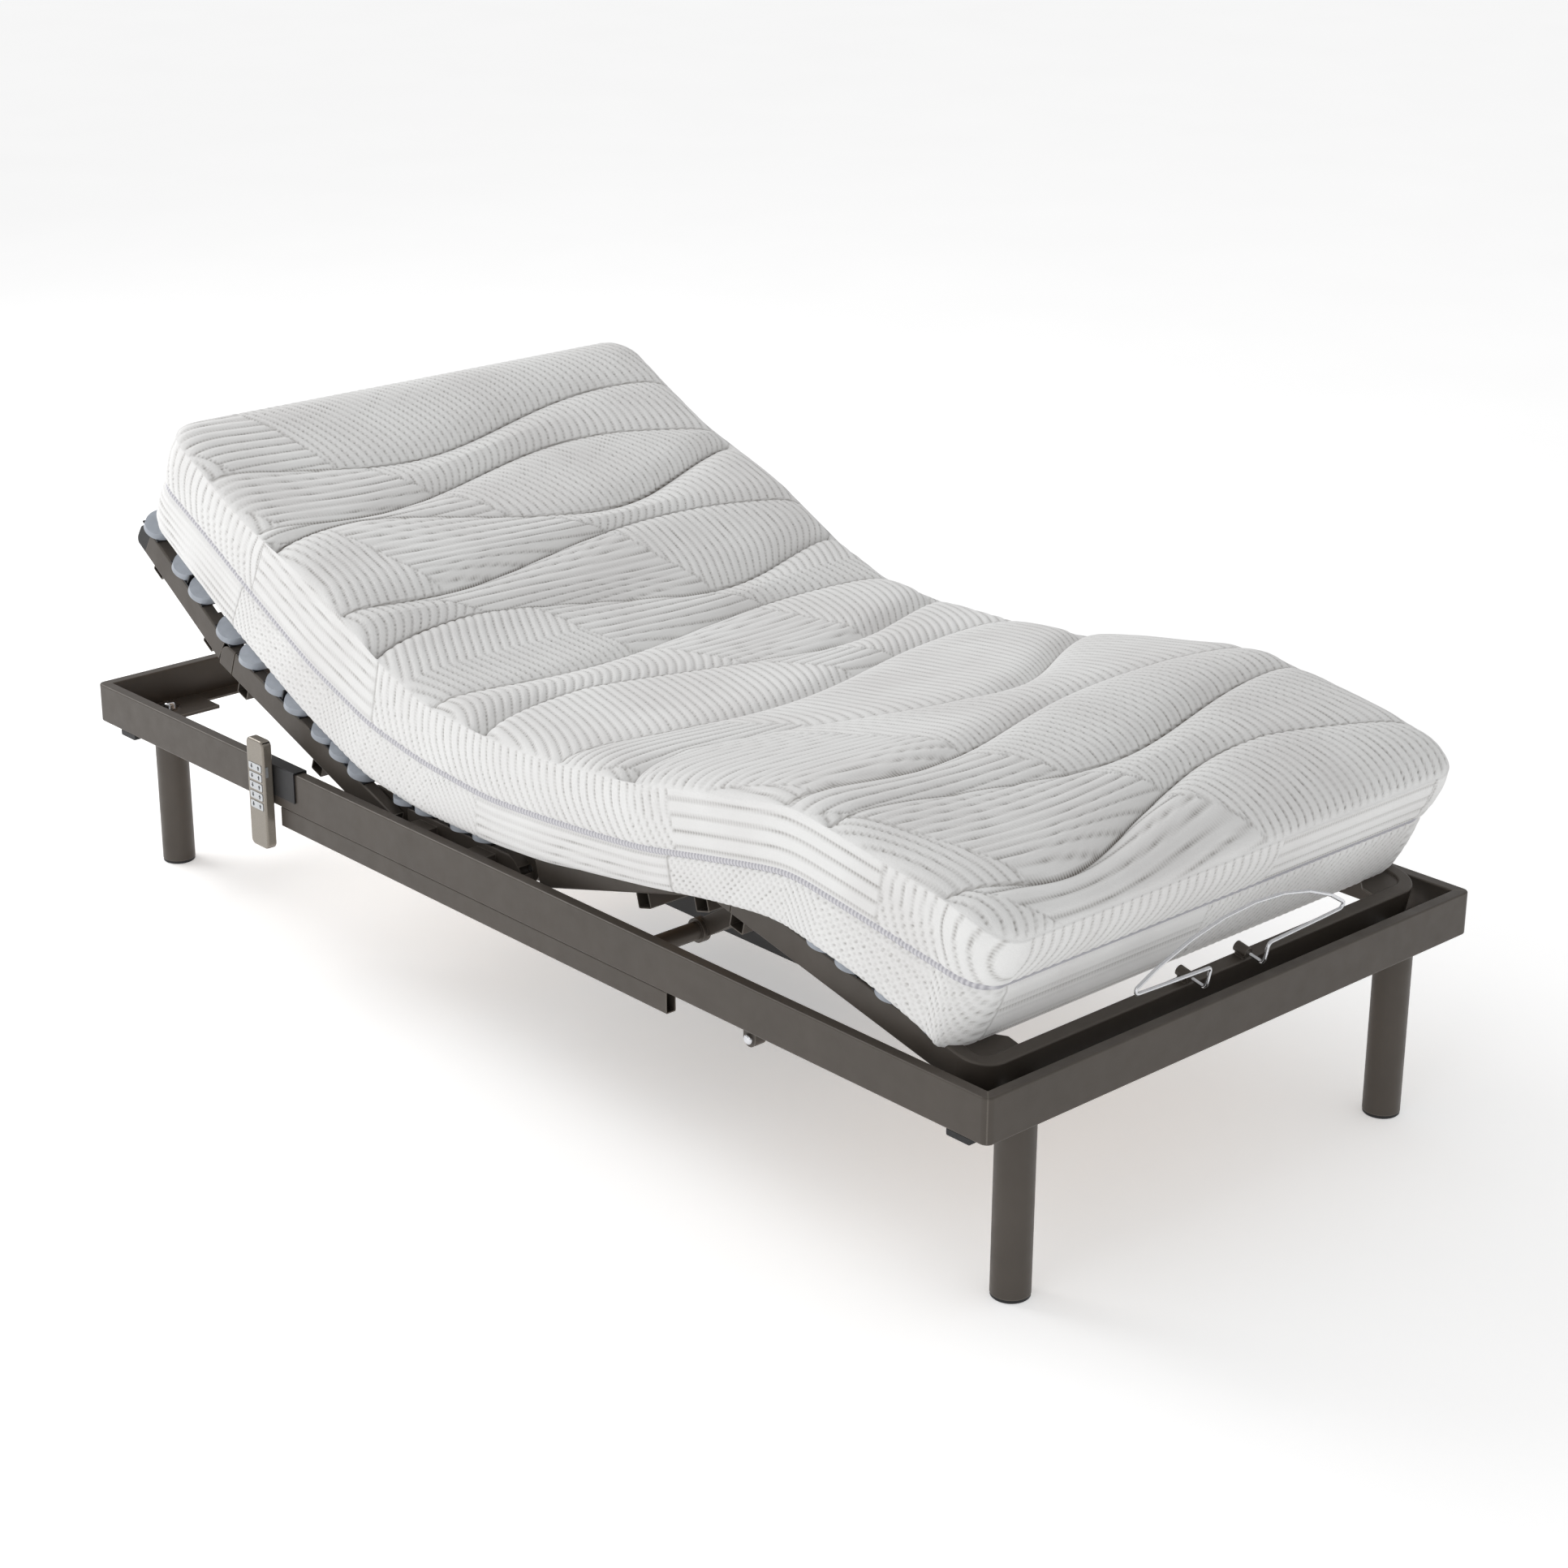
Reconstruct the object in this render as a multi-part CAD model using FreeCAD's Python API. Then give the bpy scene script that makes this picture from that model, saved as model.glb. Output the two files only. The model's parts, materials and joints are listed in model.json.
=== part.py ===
import FreeCAD, Part
import math
import os
from FreeCAD import Vector

# Adjustable single bed: outer frame on four legs, five-section slatted platform
# (head, back, seat, thigh, calf), twin drive, handset, retainer bow and mattress.
# Millimetres. +Z is up, +Y points to the head, the floor is Z = 0 and the bed's
# centre line is X = 0. Sections are drawn lying flat, then turned to the rest pose.

# ---- overall sizes -------------------------------------------------------------
bed_width = 900.0
bed_length = 1900.0
frame_top = 304.0
leg_diameter = 50.0

# ---- outer frame ---------------------------------------------------------------
rail_height = 60.0
rail_thickness = 18.0
rail_wall = 1.5
rail_edge_radius = 2.5
frame_corner_radius = 11.0
ledge_width = 30.0
ledge_thickness = 3.0
corner_plate_length = 142.0
corner_plate_width = 70.0
corner_plate_thickness = 5.0
corner_plate_lift = 4.0
leg_inset_side = 96.0
leg_inset_end = 45.0
leg_wall = 2.0
glide_height = 5.0
glide_spigot = 12.0
glide_step = 0.5
glide_chamfer = 1.2
leg_insert_height = 14.0
leg_bolt_diameter = 10.0
bolt_hole_clearance = 0.2
leg_washer_diameter = 34.0
leg_washer_thickness = 2.5
bolt_head_diameter = 20.0
bolt_head_height = 7.0
pad_length = 38.0
pad_height = 8.0
pad_inset_head = 80.0
pad_inset_foot = 46.0
lower_rail_height = 30.0
lower_rail_width = 16.0
lower_rail_wall = 1.5
lower_rail_edge = 2.0
lower_rail_foot_end = -393.0
lower_rail_head_end = 457.0
link_tab_y = -530.0
link_tab_width = 22.0
link_tab_thickness = 18.0
link_tab_drop = 31.0
link_tab_rise = 24.0
link_bolt_diameter = 8.0
link_head_diameter = 14.0
link_head_height = 5.0

# ---- platform sections (flat) --------------------------------------------------
platform_side_gap = 20.0
side_tube_width = 20.0
side_tube_height = 40.0
side_tube_wall = 1.5
side_tube_edge = 3.0
hinge_height = 289.0
back_pivot_y = 297.0
thigh_pivot_y = -49.0
back_length = 357.0
head_tip_gap = 10.0
thigh_length = 396.5
calf_tip_gap = 6.5
seat_head_end = 197.0
seat_foot_end = -20.0
seat_end_radius = 36.0
back_tail = 60.0
thigh_gap = 44.0
hinge_plate_thickness = 5.0
hinge_plate_clearance = 0.5
hinge_eye_radius = 18.0
hinge_weld_length = 50.0
pin_diameter = 10.0
pin_clearance = 0.05
pin_head_radius = 8.0
pin_head_height = 3.0
pin_end_gap = 1.0
bush_radius = 8.0
knuckle_gap = 0.6
knee_knuckle_length = 24.0
neck_knuckle_length = 11.0
shadow_gap = 3.0
cross_bar_width = 25.0
cross_bar_height = 22.0
cross_bar_overhang = 7.0
cross_bar_wall = 1.5
cross_bar_edge = 2.0
head_bar_height = 14.0
calf_corner_radius = 38.0
calf_corner_overlap = 1.0
end_cap_radius = 13.0
end_cap_spigot = 20.0
neck_length = 26.0
bracket_inset = 4.0
end_cap_length = 26.0
gusset_thickness = 3.0
gusset_reach = 62.0

# ---- rest pose, measured up from flat ------------------------------------------
back_angle = 20.3
head_angle = 12.7
thigh_angle = 15.6
knee_angle = 28.3

# ---- slats ---------------------------------------------------------------------
slat_width = 38.0
slat_thickness = 8.0
slat_lift = 8.0
slat_pocket = 14.0
cap_width = 45.0
cap_height = 20.0
cap_lift = 2.0
cap_overhang = 8.0
cap_edge_radius = 3.0
cap_length = 56.0
cap_slope_length = 32.0
cap_slope_drop = 12.0
cap_pocket_clearance = 0.2
holder_thickness = 2.0
holder_depth = 32.0
holder_rib_gap = 1.0
holder_rib_height = 18.0
head_slats = ((900.0,), (815.0, 766.0), (683.0,))
back_slats = ((614.0,), (544.0, 495.0), (424.0, 378.0), (332.0,))
seat_slats = ((212.0, 162.0), (82.0, 32.0))
thigh_slats = ((-125.0, -175.0), (-255.0, -305.0), (-385.0,))
calf_slats = ((-520.0, -570.0), (-641.0, -691.0), (-761.0, -840.0))
seat_bars = (150.0, 20.0)
back_bars = (422.0, 618.0)
head_bars = (712.0, 862.0)
thigh_bars = (-300.0, -416.0)
calf_bars = (-500.0,)
bracket_length = 40.0

# ---- mattress ------------------------------------------------------------------
mattress_side_inset = 22.0
mattress_lift = 24.0
mattress_foot_inset = 27.5
mattress_head_inset = 29.0
# heights of the mattress over the hinge line, where it lies on the raised sections
mattress_foot_height = 212.0
mattress_calf_height = 216.0
mattress_knee_height = 141.0
mattress_thigh_height = 195.0
mattress_seat_height = 205.0
mattress_lumbar_height = 255.0
mattress_back_height = 262.0
mattress_neck_height = 254.0
mattress_head_height = 240.0
mattress_calf_rise = 190.0
mattress_corner_radius = 40.0
joint_slack = 2.0
back_fold_max = 65.0
head_fold_max = 25.0
thigh_fold_max = 40.0

# ---- twin drive ----------------------------------------------------------------
drive_height = 229.0
back_shaft_y = 248.0
legs_shaft_y = -247.0
shaft_diameter = 25.0
shaft_wall = 2.0
shaft_clearance = 0.05
shaft_end_gap = 8.0
bearing_width = 44.0
bearing_depth = 20.0
bearing_height = 30.0
bearing_corner = 4.0
collar_radius = 17.0
collar_length = 12.0
arm_x = 250.0
arm_thickness = 6.0
arm_half_width = 13.0
back_arm_length = 180.0
legs_arm_length = 150.0
back_lever_ratio = 0.595
legs_lever_ratio = 2.21
roller_radius = 15.0
roller_width = 20.0
roller_gap = 1.2
axle_radius = 5.0
axle_clearance = 0.05
roller_side_gap = 1.0
track_width = 18.0
track_thickness = 5.0
back_track_start = 370.0
thigh_track_end = -232.0
housing_half_width = 88.0
housing_wall = 2.5
housing_floor = 124.0
housing_split = 198.0
housing_bar_gap = 1.0
housing_head_end = 300.0
housing_foot_end = -345.0
shaft_hole_clearance = 1.0
crank_length = 70.0
crank_x = 18.0
crank_thickness = 6.0
crank_tip_radius = 8.0
crank_hub_radius = 14.0
nut_gap = 8.0
nut_length = 30.0
nut_half_width = 30.0
nut_height = 36.0
spindle_radius = 7.0
spindle_clearance = 0.08
gearbox_length = 56.0
gearbox_half_width = 34.0
motor_radius = 17.0
motor_length = 46.0
gearbox_y = -20.0
gearbox_gap = 8.0
gland_radius = 8.0
gland_x = 50.0
gland_length = 14.0
spindle_end_gap = 24.0
nut_corner = 4.0
housing_corner = 12.0

# ---- handset -------------------------------------------------------------------
handset_y = 488.0
handset_width = 43.0
handset_bottom = 178.0
handset_length = 165.0
handset_thickness = 16.0
handset_corner = 9.0
handset_edge = 3.0
handset_wall = 2.0
key_corner = 2.5
side_key_setback = 1.0
side_key_depth = 3.5
hook_clearance = 0.6
hook_thickness = 2.0
hook_width = 92.0
hook_foot_side = 416.0
hook_inner_drop = 16.0
hook_outer_drop = 46.0
key_rows = 5
key_height = 11.0
key_width = 31.0
key_row_pitch = 14.6
key_top_drop = 42.0
key_clearance = 0.3
key_proud = 0.8
key_depth = 4.0
side_key_height = 16.0
side_key_width = 4.0
side_key_drop = 38.0

# ---- retainer bow --------------------------------------------------------------
wire_radius = 2.5
socket_x = 54.0
socket_radius = 7.0
socket_length = 20.0
socket_lift = 9.0
socket_foot = 10.0
socket_depth = 8.0
bow_stand_off = 24.0
bow_lower_lift = 30.0
bow_half_width = 206.0
bow_rise = 68.0
bow_corner_rise = 8.0

# ---- worked-out values ---------------------------------------------------------
half_width = bed_width / 2
half_length = bed_length / 2
frame_bottom = frame_top - rail_height
inner_x = half_width - rail_thickness
inner_y = half_length - rail_thickness
plate_bottom = frame_bottom + corner_plate_lift
plate_top = plate_bottom + corner_plate_thickness
leg_x = half_width - leg_inset_side
leg_y = half_length - leg_inset_end
platform_half_width = inner_x - platform_side_gap
platform_top = hinge_height + side_tube_height / 2
platform_bottom = hinge_height - side_tube_height / 2
knuckle_reach = side_tube_height / 2
tube_inner_x = platform_half_width - side_tube_width
head_pivot_y = back_pivot_y + back_length
knee_pivot_y = thigh_pivot_y - thigh_length
head_tip_y = inner_y - head_tip_gap
calf_tip_y = calf_tip_gap - inner_y
bar_bottom = platform_bottom - cross_bar_height
housing_top = bar_bottom - housing_bar_gap
track_bottom = bar_bottom - track_thickness
cap_bottom = platform_top + cap_lift
slat_bottom = platform_top + slat_lift
mattress_bottom = platform_top + mattress_lift
mattress_half_width = half_width - mattress_side_inset
mattress_foot_end = calf_tip_y + mattress_foot_inset
mattress_head_end = head_tip_y - mattress_head_inset
lower_rail_face = half_width - rail_thickness / 2 - lower_rail_width / 2
shaft_half_length = lower_rail_face - shaft_end_gap
nut_z = drive_height - crank_length
back_lever_rest = back_lever_ratio * back_angle
legs_lever_rest = legs_lever_ratio * thigh_angle

pin_end_x = platform_half_width - side_tube_wall - pin_end_gap

AXIS_X = Vector(1, 0, 0)
AXIS_Y = Vector(0, 1, 0)
AXIS_Z = Vector(0, 0, 1)


# ---- helpers -------------------------------------------------------------------
def block(x0, x1, y0, y1, z0, z1):
    """Plain box between two corners, given in any order."""
    low = Vector(min(x0, x1), min(y0, y1), min(z0, z1))
    return Part.makeBox(abs(x1 - x0), abs(y1 - y0), abs(z1 - z0), low)


def rod(axis, radius, start, length):
    """Solid cylinder from a start point along an axis."""
    return Part.makeCylinder(radius, length, start, axis)


def along_x(radius, x0, x1, y, z):
    return rod(AXIS_X, radius, Vector(min(x0, x1), y, z), abs(x1 - x0))


def side_outline(points, x0, x1):
    """Polygon given as (y, z) points, extruded from x0 to x1."""
    loop = [Vector(x0, y, z) for y, z in points]
    face = Part.Face(Part.makePolygon(loop + [loop[0]]))
    return face.extrude(Vector(x1 - x0, 0, 0))


def end_outline(points, y0, y1):
    """Polygon given as (x, z) points, extruded from y0 to y1."""
    loop = [Vector(x, y0, z) for x, z in points]
    face = Part.Face(Part.makePolygon(loop + [loop[0]]))
    return face.extrude(Vector(0, y1 - y0, 0))


def plan_outline(points, z0, z1):
    """Polygon given as (x, y) points, extruded from z0 to z1."""
    loop = [Vector(x, y, z0) for x, y in points]
    face = Part.Face(Part.makePolygon(loop + [loop[0]]))
    return face.extrude(Vector(0, 0, z1 - z0))


def edges_along(shape, axis, test=None):
    """Straight edges parallel to an axis that pass an optional test on their middle."""
    found = []
    for edge in shape.Edges:
        if edge.Curve.TypeId != "Part::GeomLine":
            continue
        direction = edge.tangentAt(edge.FirstParameter)
        if abs(abs(direction.dot(axis)) - 1) > 1e-6:
            continue
        middle = edge.CenterOfMass
        if test is None or test(middle):
            found.append(edge)
    return found


def rounded(shape, axis, radius, test=None):
    return shape.makeFillet(radius, edges_along(shape, axis, test))


def box_tube(axis, x0, x1, y0, y1, z0, z1, wall, edge):
    """Rectangular tube with rounded long edges, open at both ends along its axis."""
    outer = rounded(block(x0, x1, y0, y1, z0, z1), axis, edge)
    trim = [wall, wall, wall]
    trim[0 if axis == AXIS_X else 1] = -1.0
    inner = block(
        min(x0, x1) + trim[0], max(x0, x1) - trim[0],
        min(y0, y1) + trim[1], max(y0, y1) - trim[1],
        z0 + wall, z1 - wall,
    )
    return outer.cut(inner)


def mirror_x(shape):
    return shape.mirror(Vector(0, 0, 0), AXIS_X)


def both_sides(shape):
    return [shape, mirror_x(shape)]


def turn(shape, pivot, degrees):
    """Turn about the X axis through a (y, z) pivot."""
    turned = shape.copy()
    turned.rotate(Vector(0, pivot[0], pivot[1]), AXIS_X, degrees)
    return turned


def turned_point(point, pivot, degrees):
    """Where a (y, z) point goes when it turns about a (y, z) pivot."""
    angle = math.radians(degrees)
    dy = point[0] - pivot[0]
    dz = point[1] - pivot[1]
    y = pivot[0] + dy * math.cos(angle) - dz * math.sin(angle)
    z = pivot[1] + dy * math.sin(angle) + dz * math.cos(angle)
    return (y, z)


BACK_PIVOT = (back_pivot_y, hinge_height)
HEAD_PIVOT = (head_pivot_y, hinge_height)
THIGH_PIVOT = (thigh_pivot_y, hinge_height)
KNEE_PIVOT = (knee_pivot_y, hinge_height)
BACK_SHAFT = (back_shaft_y, drive_height)
LEGS_SHAFT = (legs_shaft_y, drive_height)


def as_seat(shape):
    return shape


def as_back(shape):
    return turn(shape, BACK_PIVOT, back_angle)


def as_head(shape):
    return as_back(turn(shape, HEAD_PIVOT, head_angle))


def as_thigh(shape):
    return turn(shape, THIGH_PIVOT, -thigh_angle)


def as_calf(shape):
    return as_thigh(turn(shape, KNEE_PIVOT, knee_angle))


def save(name, shapes, place=as_seat):
    """Write one node; every shape in the list is a separate closed solid."""
    solids = []
    for shape in shapes:
        placed = place(shape).removeSplitter()
        solids.extend(placed.Solids)
    for solid in solids:
        if not solid.isValid() or solid.Volume < 1.0:
            raise ValueError(name + " has a bad solid")
    whole = solids[0] if len(solids) == 1 else Part.makeCompound(solids)
    whole.exportStep("parts/" + name + ".step")


def welded(shapes):
    """One solid out of pieces that are welded to each other."""
    whole = shapes[0].fuse(shapes[1:]).removeSplitter()
    if len(whole.Solids) != 1:
        raise ValueError("welded pieces do not meet")
    return whole


os.makedirs("parts", exist_ok=True)


# ---- outer frame ---------------------------------------------------------------
def frame_ring():
    """The four rails as one hollow ring, before it is mitred."""
    outer = block(-half_width, half_width, -half_length, half_length, frame_bottom, frame_top)
    outer = rounded(outer, AXIS_Z, frame_corner_radius)
    opening = block(-inner_x, inner_x, -inner_y, inner_y, frame_bottom - 1, frame_top + 1)
    ring = outer.cut(opening)
    level = [e for e in ring.Edges if abs(e.CenterOfMass.z - frame_top) < 1e-6]
    level += [e for e in ring.Edges if abs(e.CenterOfMass.z - frame_bottom) < 1e-6]
    ring = ring.makeFillet(rail_edge_radius, level)
    hollow = block(
        -half_width + rail_wall, half_width - rail_wall,
        -half_length + rail_wall, half_length - rail_wall,
        frame_bottom + rail_wall, frame_top - rail_wall,
    )
    hollow = rounded(hollow, AXIS_Z, frame_corner_radius - rail_wall)
    core = block(
        -inner_x - rail_wall, inner_x + rail_wall,
        -inner_y - rail_wall, inner_y + rail_wall,
        frame_bottom, frame_top,
    )
    return ring.cut(hollow.cut(core))


def mitre_wedge(side):
    """Trapezium that keeps one rail of the ring; side is a unit (x, y) pair."""
    inset = 3 * rail_thickness
    z0 = frame_bottom - 1
    z1 = frame_top + 1
    if side[0]:
        x_out = side[0] * (half_width + inset)
        x_in = side[0] * (half_width - inset)
        y_out = half_length + inset
        y_in = half_length - inset
        points = [(x_out, -y_out), (x_out, y_out), (x_in, y_in), (x_in, -y_in)]
    else:
        y_out = side[1] * (half_length + inset)
        y_in = side[1] * (half_length - inset)
        x_out = half_width + inset
        x_in = half_width - inset
        points = [(-x_out, y_out), (x_out, y_out), (x_in, y_in), (-x_in, y_in)]
    return plan_outline(points, z0, z1)


def end_ledge(sign):
    """Inward ledge along the bottom of an end rail, between its corner plates."""
    reach = inner_x - corner_plate_length
    y0 = sign * inner_y
    y1 = sign * (inner_y - ledge_width)
    return block(-reach, reach, y0, y1, plate_bottom, plate_bottom + ledge_thickness)


def outer_frame():
    ring = frame_ring()
    save("side_rail_left", [ring.common(mitre_wedge((-1, 0)))])
    save("side_rail_right", [ring.common(mitre_wedge((1, 0)))])
    for name, sign in (("head_rail", 1), ("foot_rail", -1)):
        rail = ring.common(mitre_wedge((0, sign)))
        save(name, [rail, end_ledge(sign)])


def corners():
    """The four (x, y) leg positions, foot end first."""
    return [(sx * leg_x, sy * leg_y) for sy in (-1, 1) for sx in (-1, 1)]


def legs_and_corner_fittings():
    plates = []
    legs = []
    glides = []
    bolts = []
    bolt_radius = leg_bolt_diameter / 2
    bore_radius = bolt_radius + bolt_hole_clearance
    inner_radius = leg_diameter / 2 - leg_wall
    for x, y in corners():
        sx = math.copysign(1, x)
        sy = math.copysign(1, y)
        plate = block(
            sx * inner_x, sx * (inner_x - corner_plate_length),
            sy * inner_y, sy * (inner_y - corner_plate_width),
            plate_bottom, plate_top,
        )
        drill = rod(AXIS_Z, bore_radius, Vector(x, y, plate_bottom - 1), corner_plate_thickness + 2)
        plates.append(plate.cut(drill))
        tube = rod(AXIS_Z, leg_diameter / 2, Vector(x, y, glide_height), plate_bottom - glide_height)
        bore = rod(AXIS_Z, inner_radius, Vector(x, y, 0), plate_bottom - leg_insert_height)
        tapping = rod(AXIS_Z, bolt_radius, Vector(x, y, 0), plate_bottom + 1)
        legs.append(tube.cut(bore).cut(tapping))
        foot = rod(AXIS_Z, leg_diameter / 2 - glide_step, Vector(x, y, 0), glide_height)
        foot = foot.makeChamfer(glide_chamfer, [e for e in foot.Edges if e.CenterOfMass.z < 0.01])
        spigot = rod(AXIS_Z, inner_radius, Vector(x, y, glide_height), glide_spigot)
        glides.append(foot.fuse(spigot))
        bolts.append(leg_bolt(x, y, bolt_radius))
    save("corner_plates", plates)
    save("legs", legs)
    save("leg_glides", glides)
    save("leg_bolts", bolts)


def leg_bolt(x, y, radius):
    """Domed bolt with its washer, from above the corner plate into the leg's insert."""
    flange = rod(AXIS_Z, leg_washer_diameter / 2, Vector(x, y, plate_top), leg_washer_thickness)
    head_base = plate_top + leg_washer_thickness
    head = rod(AXIS_Z, bolt_head_diameter / 2, Vector(x, y, head_base), bolt_head_height)
    top = [e for e in head.Edges if e.CenterOfMass.z > head_base + bolt_head_height - 0.01]
    head = head.makeFillet(bolt_head_height * 0.6, top)
    shank_start = plate_bottom - leg_insert_height
    shank = rod(AXIS_Z, radius, Vector(x, y, shank_start), plate_top - shank_start)
    return head.fuse([flange, shank])


def rail_pads():
    """Plastic pads clipped under the long rails near the corners."""
    pads = []
    for sx in (-1, 1):
        for sy, inset in ((-1, pad_inset_foot), (1, pad_inset_head)):
            y = sy * (half_length - inset)
            x0 = sx * (half_width - 1)
            x1 = sx * (inner_x + 1)
            pad = block(x0, x1, y - pad_length / 2, y + pad_length / 2,
                        frame_bottom - pad_height, frame_bottom)
            low = frame_bottom - pad_height
            pad = rounded(pad, AXIS_X, 2.0, lambda m: m.z < low + 0.01)
            pads.append(pad)
    save("rail_pads", pads)


def lower_rails():
    """Stiffening tubes under the long rails, which also carry the drive shafts."""
    x0 = half_width - rail_thickness / 2 - lower_rail_width / 2
    tube = box_tube(AXIS_Y, x0, x0 + lower_rail_width, lower_rail_foot_end, lower_rail_head_end,
                    frame_bottom - lower_rail_height, frame_bottom, lower_rail_wall, lower_rail_edge)
    save("lower_rails", both_sides(tube))


def link_tabs():
    """Tabs under the long rails that bolt two single bases side by side."""
    half = link_tab_width / 2
    low = frame_bottom - link_tab_drop + half
    x0 = inner_x - link_tab_thickness
    tab = block(x0, inner_x, link_tab_y - half, link_tab_y + half, low, frame_bottom + link_tab_rise)
    tab = tab.fuse(along_x(half, x0, inner_x, link_tab_y, low))
    bore = along_x(link_bolt_diameter / 2 + 0.1, x0 - 1, inner_x + 1, link_tab_y, low)
    tab = tab.cut(bore)
    shank = along_x(link_bolt_diameter / 2, x0 - 3, inner_x, link_tab_y, low)
    head = along_x(link_head_diameter / 2, inner_x, inner_x + link_head_height, link_tab_y, low)
    outer = [e for e in head.Edges if e.CenterOfMass.x > inner_x + link_head_height - 0.01]
    head = head.makeFillet(link_head_height * 0.7, outer)
    save("link_tabs", both_sides(tab))
    save("link_bolts", both_sides(head.fuse(shank)))


# ---- platform tubes and hinges -------------------------------------------------
def side_tube(y0, y1):
    """Side tube of a section on the +X side, drawn flat."""
    return box_tube(AXIS_Y, tube_inner_x, platform_half_width, y0, y1,
                    platform_bottom, platform_top, side_tube_wall, side_tube_edge)


def eye_cutter(y, radius):
    """Opening for a pin or bush through the inner wall of a side tube."""
    return along_x(radius, tube_inner_x - 1, tube_inner_x + side_tube_wall + 0.5, y, hinge_height)


def rounding_tool(y, z, sign_y, sign_z, radius, x0, x1):
    """What a quarter-round corner of the given radius takes away at (y, z)."""
    corner = block(x0, x1, y, y - sign_y * radius, z, z - sign_z * radius)
    keep = along_x(radius, x0, x1, y - sign_y * radius, z - sign_z * radius)
    return corner.cut(keep)


def end_plug(y0, y1):
    """Solid that fills a side tube between two stations."""
    tube = block(tube_inner_x, platform_half_width, y0, y1, platform_bottom, platform_top)
    return rounded(tube, AXIS_Y, side_tube_edge)


def hinge_arm(y_start, pivot_y, layer, bore_clearance):
    """Plate welded to a tube's inner face at y_start, with a round eye at the pivot."""
    x1 = tube_inner_x - hinge_plate_clearance - layer * (hinge_plate_thickness + hinge_plate_clearance)
    x0 = x1 - hinge_plate_thickness
    low = hinge_height - hinge_eye_radius
    high = hinge_height + hinge_eye_radius
    eye = along_x(hinge_eye_radius, x0, x1, pivot_y, hinge_height)
    bar = block(x0, x1, y_start, pivot_y, low, high)
    bore = along_x(pin_diameter / 2 + bore_clearance, x0 - 1, x1 + 1, pivot_y, hinge_height)
    away = math.copysign(hinge_weld_length, pivot_y - y_start)
    weld = block(x1, tube_inner_x, y_start, y_start + away, low + 3, high - 3)
    return bar.fuse([eye, weld]).cut(bore)


def hinge_pin(pivot_y, end_x, layers):
    """Headed pin pressed into the innermost plate; it ends at end_x."""
    head_x1 = tube_inner_x - layers * (hinge_plate_thickness + hinge_plate_clearance)
    pin = along_x(pin_diameter / 2, head_x1, end_x, pivot_y, hinge_height)
    head = along_x(pin_head_radius, head_x1 - pin_head_height, head_x1, pivot_y, hinge_height)
    return pin.fuse(head)


def bushed(tube, pivot_y):
    """Tube with a bush across it, in which a hinge pin turns."""
    end_x = platform_half_width - side_tube_wall
    boss = along_x(bush_radius, tube_inner_x, end_x, pivot_y, hinge_height)
    bore = along_x(pin_diameter / 2 + pin_clearance, tube_inner_x - 1, end_x, pivot_y, hinge_height)
    return tube.fuse(boss).cut(bore)


def cross_bar(y, height=cross_bar_height):
    """Box tube across the bed, under the side tubes."""
    reach = platform_half_width - cross_bar_overhang
    return box_tube(AXIS_X, -reach, reach, y - cross_bar_width / 2, y + cross_bar_width / 2,
                    platform_bottom - height, platform_bottom, cross_bar_wall, cross_bar_edge)


def slat_cap(y):
    """Rubber-like cap on a slat's end, drawn on the +X side."""
    half = cap_width / 2
    outer = platform_half_width + cap_overhang
    inner = outer - cap_length
    top = cap_bottom + cap_height
    body = block(inner, outer - half, y - half, y + half, cap_bottom, top)
    nose = rod(AXIS_Z, half, Vector(outer - half, y, cap_bottom), cap_height)
    cap = body.fuse(nose).removeSplitter()
    rim = [e for e in cap.Edges if abs(e.CenterOfMass.z - top) < 0.01 and e.CenterOfMass.x > inner + 1]
    cap = cap.makeFillet(cap_edge_radius, rim)
    slope = [(outer - cap_slope_length, top + 1), (outer - cap_slope_length, top),
             (outer + 1, top - cap_slope_drop), (outer + 1, top + 1)]
    cap = cap.cut(end_outline(slope, y - half - 1, y + half + 1))
    clear = cap_pocket_clearance
    pocket = block(inner - 1, inner + slat_pocket, y - slat_width / 2 - clear, y + slat_width / 2 + clear,
                   slat_bottom - clear, slat_bottom + slat_thickness + clear)
    return cap.cut(pocket)


def slat_holder(group):
    """Holder clipped on a side tube: flat under one slat, with a middle rib between two."""
    start = min(group) - cap_width / 2
    end = max(group) + cap_width / 2
    x0 = platform_half_width - holder_depth
    holder = block(x0, platform_half_width, start, end, platform_top, platform_top + holder_thickness)
    room = max(group) - min(group) - cap_width - 2 * holder_rib_gap
    if len(group) == 2 and room > 1:
        middle = (start + end) / 2
        rib = block(x0, platform_half_width - holder_rib_gap, middle - room / 2, middle + room / 2,
                    platform_top, platform_top + holder_rib_height)
        holder = holder.fuse(rib)
    return holder


def save_slats(prefix, groups, place):
    """Slats, and the holders and end caps that carry them, for one section."""
    slats = []
    holders = []
    slat_end = platform_half_width + cap_overhang - cap_length + slat_pocket - cap_pocket_clearance
    for group in groups:
        holders.extend(both_sides(slat_holder(group)))
        for y in group:
            slats.append(block(-slat_end, slat_end, y - slat_width / 2, y + slat_width / 2,
                               slat_bottom, slat_bottom + slat_thickness))
            holders.extend(both_sides(slat_cap(y)))
    save(prefix + "_slats", slats, place)
    save(prefix + "_slat_holders", holders, place)


def lift_track(y0, y1):
    """Flat bars under the cross bars, on which the lift rollers run."""
    half = track_width / 2
    bar = block(arm_x - half, arm_x + half, y0, y1, track_bottom, bar_bottom)
    return both_sides(bar)


def ladder(bars, y0, y1):
    """Cross bars with the two lift tracks welded under them."""
    return welded([cross_bar(y) for y in bars] + lift_track(y0, y1))


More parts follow.
